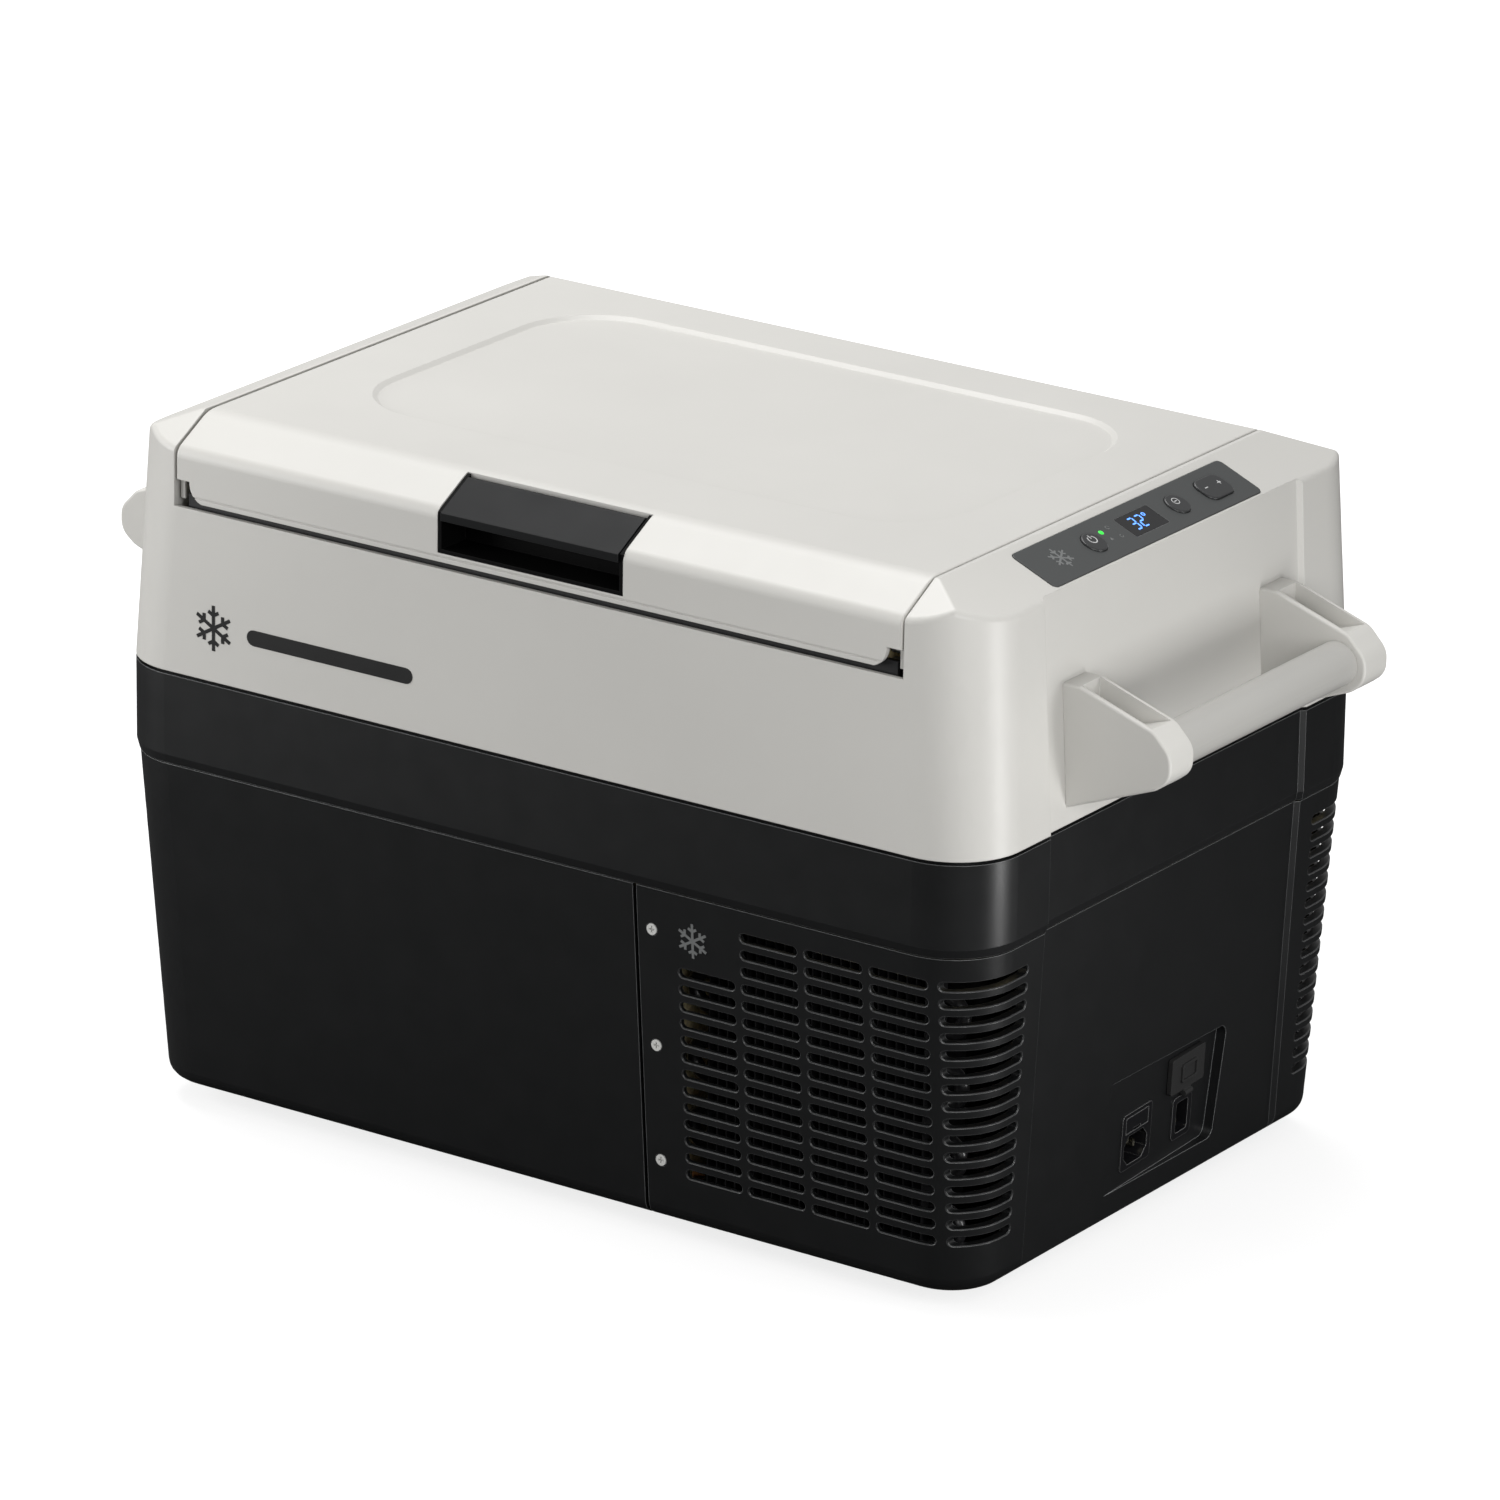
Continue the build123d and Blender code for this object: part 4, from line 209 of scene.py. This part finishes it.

# Every edge colour below, and the lighter default where none is given, is a painted highlight along
# edges; on zinc_plate the dark edge colour paints shade instead.
finish = {
    "black_shell": moulded(
        "black_shell", BLACK, 0.36, 0.02,
        painted_edge_shading=1.0, soft=0.5, painted_edge_shading_color=(0.36, 0.37, 0.375), shine=0.6
    ),
    "grey_shell": moulded(
        "grey_shell", GREY, 0.42, 0.02, painted_edge_shading=0.25, soft=0.8, painted_edge_shading_color=(0.8, 0.79, 0.76)
    ),
    "grip_paint": moulded("grip_paint", shade(GREY, 0.72), 0.32, 0.01, soft=0.5),
    "liner_plastic": moulded("liner_plastic", (0.50, 0.51, 0.51), 0.3, 0.005, painted_edge_shading=0.2, soft=1.0),
    "black_trim": moulded(
        "black_trim", (0.010, 0.010, 0.011), 0.5, 0.02, painted_edge_shading=0.2, painted_edge_shading_color=(0.08, 0.08, 0.08)
    ),
    "latch_plastic": moulded(
        "latch_plastic", (0.006, 0.0065, 0.007), 0.5, 0.015,
        painted_edge_shading=0.5, soft=0.6, painted_edge_shading_color=(0.10, 0.10, 0.10), shine=0.15
    ),
    # Painted shade: a darker copy of the latch plastic for the inside of the latch cup, where shade
    # falls.
    "latch_cup_painted_shade": moulded(
        "latch_cup_painted_shade", (0.002, 0.002, 0.002), 0.6, 0.015,
        painted_edge_shading=0.2, soft=0.6, painted_edge_shading_color=(0.06, 0.06, 0.06), shine=0.08
    ),
    "bezel_plastic": moulded(
        "bezel_plastic", (0.046, 0.049, 0.049), 0.48, 0.02,
        painted_edge_shading=0.5, soft=0.6, painted_edge_shading_color=(0.4, 0.4, 0.4)
    ),
    "button_plastic": moulded(
        "button_plastic", (0.022, 0.023, 0.024), 0.33, 0.01,
        painted_edge_shading=0.8, soft=0.8, painted_edge_shading_color=(0.35, 0.35, 0.35)
    ),
    "display_glass": moulded("display_glass", (0.004, 0.004, 0.005), 0.12, 0.0),
    "green_lens": glowing("green_lens", (0.05, 0.9, 0.08), 1.2, (0.0, 0.25, 0.01)),
    "clear_lens": moulded("clear_lens", (0.8, 0.82, 0.85), 0.2, 0.002),
    "black_rubber": moulded(
        "black_rubber", (0.008, 0.008, 0.008), 0.75, 0.03, painted_edge_shading=0.15, painted_edge_shading_color=(0.1, 0.1, 0.1)
    ),
    "socket_plastic": moulded(
        "socket_plastic", (0.006, 0.006, 0.007), 0.3, 0.01, painted_edge_shading=0.8, painted_edge_shading_color=(0.35, 0.35, 0.35)
    ),
    "foam": foam_material("foam", (0.72, 0.62, 0.36)),
    # Painted shade: the near-black edge colour darkens the screw-head rims.
    "zinc_plate": moulded(
        "zinc_plate", (0.62, 0.62, 0.60), 0.35, 0.01,
        painted_edge_shading=0.4, soft=0.2, painted_edge_shading_color=(0.06, 0.06, 0.06)
    ),
    "steel": metal("steel", (0.62, 0.62, 0.60), 0.3),
    "compressor_paint": moulded("compressor_paint", (0.012, 0.012, 0.013), 0.3, 0.01, painted_edge_shading=0.3),
    "copper": metal("copper", (0.80, 0.38, 0.22), 0.3),
    "aluminium": metal("aluminium", (0.78, 0.79, 0.80), 0.35, (1, 8, 1)),
    "brass_pin": metal("brass_pin", (0.85, 0.80, 0.62), 0.22),
    "basket_wire": moulded("basket_wire", (0.72, 0.73, 0.73), 0.3, 0.004, soft=0.3),
    "circuit_board": moulded("circuit_board", (0.01, 0.12, 0.05), 0.4, 0.01),
    "print_black": moulded("print_black", (0.010, 0.010, 0.010), 0.4, 0.004, soft=0.1),
    "print_pale": moulded("print_pale", (0.55, 0.55, 0.55), 0.45, 0.004, soft=0.1),
    "print_dim": moulded("print_dim", (0.16, 0.165, 0.165), 0.45, 0.004, soft=0.1),
    "blue_segments": glowing("blue_segments", (0.10, 0.30, 1.0), 2.6),
}

# nodes whose finish differs from their slot's
OWN_FINISH = {
    # the latch cup gets the painted-shade copy of the latch plastic
    "latch_cup": "latch_cup_painted_shade",
    "grip_right": "grip_paint",
    "grip_left": "grip_paint",
    "cover_screws": "zinc_plate",
}
for entry in frame["record"]["subparts"]:
    node = frame["nodes"][entry["node"]]
    node.data.materials.clear()
    node.data.materials.append(finish[OWN_FINISH.get(entry["node"], entry["material_slot"])])


# ---------------------------------------------------------------------------
# Thin printed and raised marks
# ---------------------------------------------------------------------------
def plate(name, outlines, thickness, place, material, body):
    """Prisms over closed outlines. Outlines are in mm in the local plane of the matrix place."""
    mesh = bpy.data.meshes.new(name)
    bm = bmesh.new()
    for outline in outlines:
        low = [bm.verts.new((x * MM, y * MM, 0)) for x, y in outline]
        high = [bm.verts.new((x * MM, y * MM, thickness * MM)) for x, y in outline]
        bm.faces.new(list(reversed(low)))
        bm.faces.new(high)
        count = len(outline)
        for k in range(count):
            bm.faces.new((low[k], low[(k + 1) % count], high[(k + 1) % count], high[k]))
    bmesh.ops.recalc_face_normals(bm, faces=bm.faces)
    bm.transform(place)
    bm.to_mesh(mesh)
    bm.free()
    piece = bpy.data.objects.new(name, mesh)
    scene.collection.objects.link(piece)
    mesh.materials.append(finish[material])
    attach(piece, body)
    return piece


def plane_at(origin, x_axis, y_axis):
    """Matrix whose local x and y run along two given directions."""
    x_axis = Vector(x_axis).normalized()
    normal = x_axis.cross(Vector(y_axis)).normalized()
    y_axis = normal.cross(x_axis)
    matrix = Matrix((x_axis, y_axis, normal)).transposed().to_4x4()
    matrix.translation = Vector(origin)
    return matrix


def snowflake(radius, width, branch_at=0.52, branch_length=0.26):
    """Outline of a six-armed snowflake."""
    half = width / 2
    start = branch_at * radius
    length = branch_length * radius
    root = half / tan(radians(30))
    tip = (half + length * sin(radians(60)), start + length * cos(radians(60)))
    right = [
        (half, root),
        (half, start),
        tip,
        (tip[0] - width * cos(radians(60)), tip[1] + width * sin(radians(60))),
        (half, start + width / sin(radians(60))),
        (half, radius),
    ]
    arm = right + [(-x, y) for x, y in reversed(right[1:])]
    outline = []
    for k in range(6):
        turn = radians(60 * k)
        outline += [(x * cos(turn) - y * sin(turn), x * sin(turn) + y * cos(turn)) for x, y in arm]
    return outline


def pill(cx, cy, length, height, steps=8):
    """Rounded bar lying along local x."""
    r = height / 2
    outline = []
    for side, start in ((1, -90), (-1, 90)):
        for k in range(steps + 1):
            a = radians(start + 180 * k / steps)
            outline.append((cx + side * (length / 2 - r) + r * cos(a), cy + r * sin(a)))
    return outline


def ring_sector(cx, cy, outer, inner, start, sweep, steps=32):
    """Part of a flat ring, degrees anticlockwise from local x."""
    angles = [radians(start + sweep * k / steps) for k in range(steps + 1)]
    outer_side = [(cx + outer * cos(a), cy + outer * sin(a)) for a in angles]
    inner_side = [(cx + inner * cos(a), cy + inner * sin(a)) for a in reversed(angles)]
    return outer_side + inner_side


# ---------------------------------------------------------------------------
# Marks on the product: a generic snowflake and bar, icons, digits
# ---------------------------------------------------------------------------
def on_face(node, outward, across, spot):
    """Plane on a CAD node's widest face towards outward; local x runs along across.

    The origin is spot, in mm, dropped onto the face along outward.
    """
    outward = Vector(outward)
    spot = Vector(spot) * MM

    def width(face):
        ahead = face.normal.dot(outward) > 0.9 and face.center.dot(outward) > 0
        return face.area if ahead else 0

    face = max(frame["nodes"][node].data.polygons, key=width)
    normal = face.normal.copy()
    spot += outward * ((face.center - spot).dot(normal) / outward.dot(normal))
    return plane_at(spot, across, normal.cross(Vector(across)))


def moved(outline, dx, dy):
    """Outline shifted in its own plane."""
    return [(x + dx, y + dy) for x, y in outline]


def centre_of(node):
    """Middle of a node's box, in mm."""
    low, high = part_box(node)
    return (low + high) / 2 / MM


FRONT, UP, END = (0, -1, 0), (0, 0, 1), (1, 0, 0)
RIGHTWARD, REARWARD = (1, 0, 0), (0, 1, 0)
RAISED = 0.3
PRINTED = 0.1

band_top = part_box("middle_band")[1].z / MM
badge_spot = (-150, -198, band_top + 25)
badge = on_face("upper_shell", FRONT, RIGHTWARD, badge_spot)
badge_shapes = [moved(snowflake(13.0, 2.0), -62, 0), pill(17, 0, 112, 9.0)]
plate("front_badge", badge_shapes, RAISED, badge, "print_black", "cabinet")

emblem_spot = (105.5, -198, 183)
emblem = on_face("compressor_cover", FRONT, RIGHTWARD, emblem_spot)
plate("cover_emblem", [snowflake(10.0, 1.5)], RAISED, emblem, "print_dim", "cabinet")

bezel_mid = centre_of("control_bezel")
emblem_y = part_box("control_bezel")[0].y / MM + 27
panel = on_face("control_bezel", UP, REARWARD, (bezel_mid.x, emblem_y, bezel_mid.z))
plate("bezel_emblem", [snowflake(8.0, 1.2)], 0.12, panel, "print_dim", "cabinet")

power_mid = centre_of("power_button")
power_face = on_face("power_button", UP, REARWARD, power_mid)
power_bar = [(-0.33, 0.6), (0.33, 0.6), (0.33, 3.6), (-0.33, 3.6)]
power_icon = [ring_sector(0, 0, 3.1, 2.45, 125, 290), power_bar]
plate("power_icon", power_icon, PRINTED, power_face, "print_pale", "power_button")

set_face = on_face("set_button", UP, REARWARD, centre_of("set_button"))
set_ring = [ring_sector(0, 0, 2.6, 2.1, start, 180) for start in (0, 180)]
set_icon = set_ring + [pill(0, 0, 2.4, 0.6)]
plate("set_icon", set_icon, PRINTED, set_face, "print_pale", "set_button")

rocker_mid = centre_of("temperature_rocker")
rocker_face = on_face("temperature_rocker", UP, REARWARD, rocker_mid)
minus = pill(-6.2, 0, 3.0, 0.65)
plus = [(-1.5, -0.33), (-0.33, -0.33), (-0.33, -1.5), (0.33, -1.5), (0.33, -0.33), (1.5, -0.33)]
plus = plus + [(-x, -y) for x, y in plus]
plate("rocker_signs", [minus, moved(plus, 6.2, 0)], PRINTED, rocker_face, "print_pale", "rocker")

lamp_mid = centre_of("status_lamp")
icons = on_face("control_bezel", UP, REARWARD, (lamp_mid.x + 4, lamp_mid.y + 4.5, lamp_mid.z))
icon_shapes = [
    ring_sector(3.2, 4.2, 1.4, 1.0, 0, 300),
    [(-4.8, -4.6), (-2.2, -4.6), (-3.5, -2.4)],
    ring_sector(5.0, -4.6, 1.3, 0.9, 60, 300),
]
plate("indicator_icons", icon_shapes, PRINTED, icons, "print_dim", "cabinet")

SEGMENTS = {
    "a": ((0, 1), (1, 1)),
    "b": ((1, 1), (1, 0)),
    "c": ((1, 0), (1, -1)),
    "d": ((0, -1), (1, -1)),
    "e": ((0, 0), (0, -1)),
    "f": ((0, 1), (0, 0)),
    "g": ((0, 0), (1, 0)),
}


def digit(lit, dx, width=4.2, half_height=4.4, stroke=0.95, slant=0.12):
    """Lit segments of one display digit, leaning right."""
    shapes = []
    for key in lit:
        (x0, y0), (x1, y1) = SEGMENTS[key]
        start = Vector((x0 * width, y0 * half_height))
        end = Vector((x1 * width, y1 * half_height))
        along = (end - start).normalized()
        side = Vector((-along.y, along.x)) * stroke / 2
        start, end = start + along * stroke * 0.3, end - along * stroke * 0.3
        nib = along * stroke / 2
        near, far = start + nib, end - nib
        outline = [start, near - side, far - side, end, far + side, near + side]
        shapes.append([(dx + p.x + slant * p.y, p.y) for p in outline])
    return shapes


display_face = on_face("display_window", UP, REARWARD, centre_of("display_window"))
shown = digit("abcdg", -8.5) + digit("abdeg", -1.6)
shown += [ring_sector(6.6, 3.4, 1.4, 0.75, start, 180, 12) for start in (0, 180)]
plate("display_digits", shown, 0.08, display_face, "blue_segments", "cabinet")

FLANGE = 0.8    # how far the inlet's flange stands off the socket plate
ac_mid = centre_of("ac_inlet")
sockets = on_face("ac_inlet", END, REARWARD, ac_mid) @ Matrix.Translation((0, 0, -FLANGE * MM))


def wave(cx, cy, length, height, stroke, steps=24):
    """Outline of one sine period."""
    top, bottom = [], []
    for k in range(steps + 1):
        x = length * (k / steps - 0.5)
        y = height * sin(2 * pi * k / steps)
        top.append((cx + x, cy + y + stroke / 2))
        bottom.append((cx + x, cy + y - stroke / 2))
    return top + bottom[::-1]


dc_shift = centre_of("dc_inlet").y - ac_mid.y
socket_shapes = [wave(0, -20.2, 8.0, 1.1, 0.8)]
socket_shapes += [pill(dc_shift, -19.6, 7.0, 0.7)]
socket_shapes += [pill(dc_shift + x, -21.4, 1.8, 0.7) for x in (-2.6, 0, 2.6)]
socket_shapes += [moved(snowflake(5.2, 0.75), -6, 29)]
plate("socket_symbols", socket_shapes, 0.2, sockets, "print_pale", "cabinet")


# ---------------------------------------------------------------------------
# Floor, light and camera
# ---------------------------------------------------------------------------
def by_ray(tree, ray_shaders, other, output):
    """Gives each kind of ray its own shader; other answers every remaining ray."""
    path = tree.nodes.new("ShaderNodeLightPath")
    current = other.outputs[0]
    for ray, shader in ray_shaders:
        mixer = tree.nodes.new("ShaderNodeMixShader")
        tree.links.new(path.outputs[ray], mixer.inputs[0])
        tree.links.new(current, mixer.inputs[1])
        tree.links.new(shader.outputs[0], mixer.inputs[2])
        current = mixer.outputs[0]
    tree.links.new(current, output)


def grey_diffuse(tree, level):
    """Matt grey, for what light and reflections see of the floor."""
    node = tree.nodes.new("ShaderNodeBsdfDiffuse")
    node.inputs["Color"].default_value = (level, level, level, 1)
    return node


def build_floor():
    """Pale floor whose painted glow fades to white away from the object and is dimmer near it."""
    m = Nodes("floor")
    m.set("Base Color", m.mix(m.noise(3, 2), (0.30, 0.30, 0.30), (0.34, 0.34, 0.34)))
    m.set("Roughness", 0.95)
    m.set("Specular IOR Level", 0.0)
    m.set("Emission Color", (1.0, 1.0, 1.0))
    reach = m.tree.nodes.new("ShaderNodeVectorMath")
    reach.operation = "LENGTH"
    m.link(m.coords, reach.inputs[0])
    # Painted light: the floor's emission, 0.8 near the object rising to full white farther away.
    fade = m.tree.nodes.new("ShaderNodeMapRange")
    fade.interpolation_type = "SMOOTHSTEP"
    for name, value in (("From Min", 0.3), ("From Max", 1.0), ("To Min", 0.80), ("To Max", 1.0)):
        fade.inputs[name].default_value = value
    m.link(reach.outputs["Value"], fade.inputs["Value"])
    m.set("Emission Strength", fade.outputs["Result"])
    rays = (("Is Glossy Ray", grey_diffuse(m.tree, 0.05)), ("Is Camera Ray", m.shader))
    by_ray(m.tree, rays, grey_diffuse(m.tree, 0.32), m.output.inputs["Surface"])
    mesh = bpy.data.meshes.new("floor")
    bm = bmesh.new()
    bmesh.ops.create_circle(bm, cap_ends=True, segments=96, radius=30)
    bm.to_mesh(mesh)
    bm.free()
    floor = bpy.data.objects.new("floor", mesh)
    floor.location.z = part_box("feet")[0].z - 0.0002
    mesh.materials.append(m.material)
    scene.collection.objects.link(floor)


def build_world():
    """White backdrop, dimmer in reflections and as a light."""
    world = bpy.data.worlds.new("studio")
    world.use_nodes = True
    tree = world.node_tree
    tree.nodes.clear()
    output = tree.nodes.new("ShaderNodeOutputWorld")
    levels = {}
    for ray, strength in (("Is Camera Ray", 1.0), ("Is Glossy Ray", 0.50), ("other", 0.33)):
        levels[ray] = tree.nodes.new("ShaderNodeBackground")
        levels[ray].inputs["Color"].default_value = (1, 1, 1, 1)
        levels[ray].inputs["Strength"].default_value = strength
    rays = [(ray, levels[ray]) for ray in ("Is Glossy Ray", "Is Camera Ray")]
    by_ray(tree, rays, levels["other"], output.inputs["Surface"])
    scene.world = world


def soft_light(name, place, size, watts, aim):
    """Area lamp at place, pointed at aim; the camera doesn't see it."""
    light = bpy.data.lights.new(name, "AREA")
    light.shape = "RECTANGLE"
    light.size, light.size_y = size
    light.energy = watts
    lamp = bpy.data.objects.new(name, light)
    lamp.location = place
    lamp.rotation_euler = (Vector(aim) - Vector(place)).to_track_quat("-Z", "Y").to_euler()
    lamp.visible_camera = False
    scene.collection.objects.link(lamp)


def build_camera(azimuth, elevation, roll, distance, target, lens):
    """Camera at a compass angle round the target; azimuth 0 looks straight at the front."""
    az, el, turn = radians(azimuth), radians(elevation), radians(roll)
    away = Vector((sin(az) * cos(el), -cos(az) * cos(el), sin(el)))
    right = Vector((cos(az), sin(az), 0))
    up = away.cross(right)
    rolled = right * cos(turn) + up * sin(turn)
    matrix = Matrix((rolled, away.cross(rolled), away)).transposed().to_4x4()
    matrix.translation = Vector(target) + away * distance
    data = bpy.data.cameras.new("camera")
    data.lens = lens
    data.clip_end = 100
    camera = bpy.data.objects.new("camera", data)
    camera.matrix_world = matrix
    scene.collection.objects.link(camera)
    scene.camera = camera


build_floor()
build_world()
soft_light("top", (-0.7, 0.3, 2.5), (1.6, 1.6), 49, (-0.1, 0, 0.4))
soft_light("front", (-1.10, -0.95, 0.55), (0.8, 0.8), 10.5, (-0.2, -0.2, 0.25))
soft_light("end", (0.85, -0.60, 0.55), (0.4, 0.4), 3.2, (0.3, -0.15, 0.3))
soft_light("strip", (0.95, 0.02, 0.17), (0.12, 0.30), 2.2, (0.28, -0.16, 0.2))
build_camera(34.5, 19.6, 0.85, 5.15, (0.010, -0.004, 0.2162), 224.6)
scene.view_settings.view_transform = "Standard"
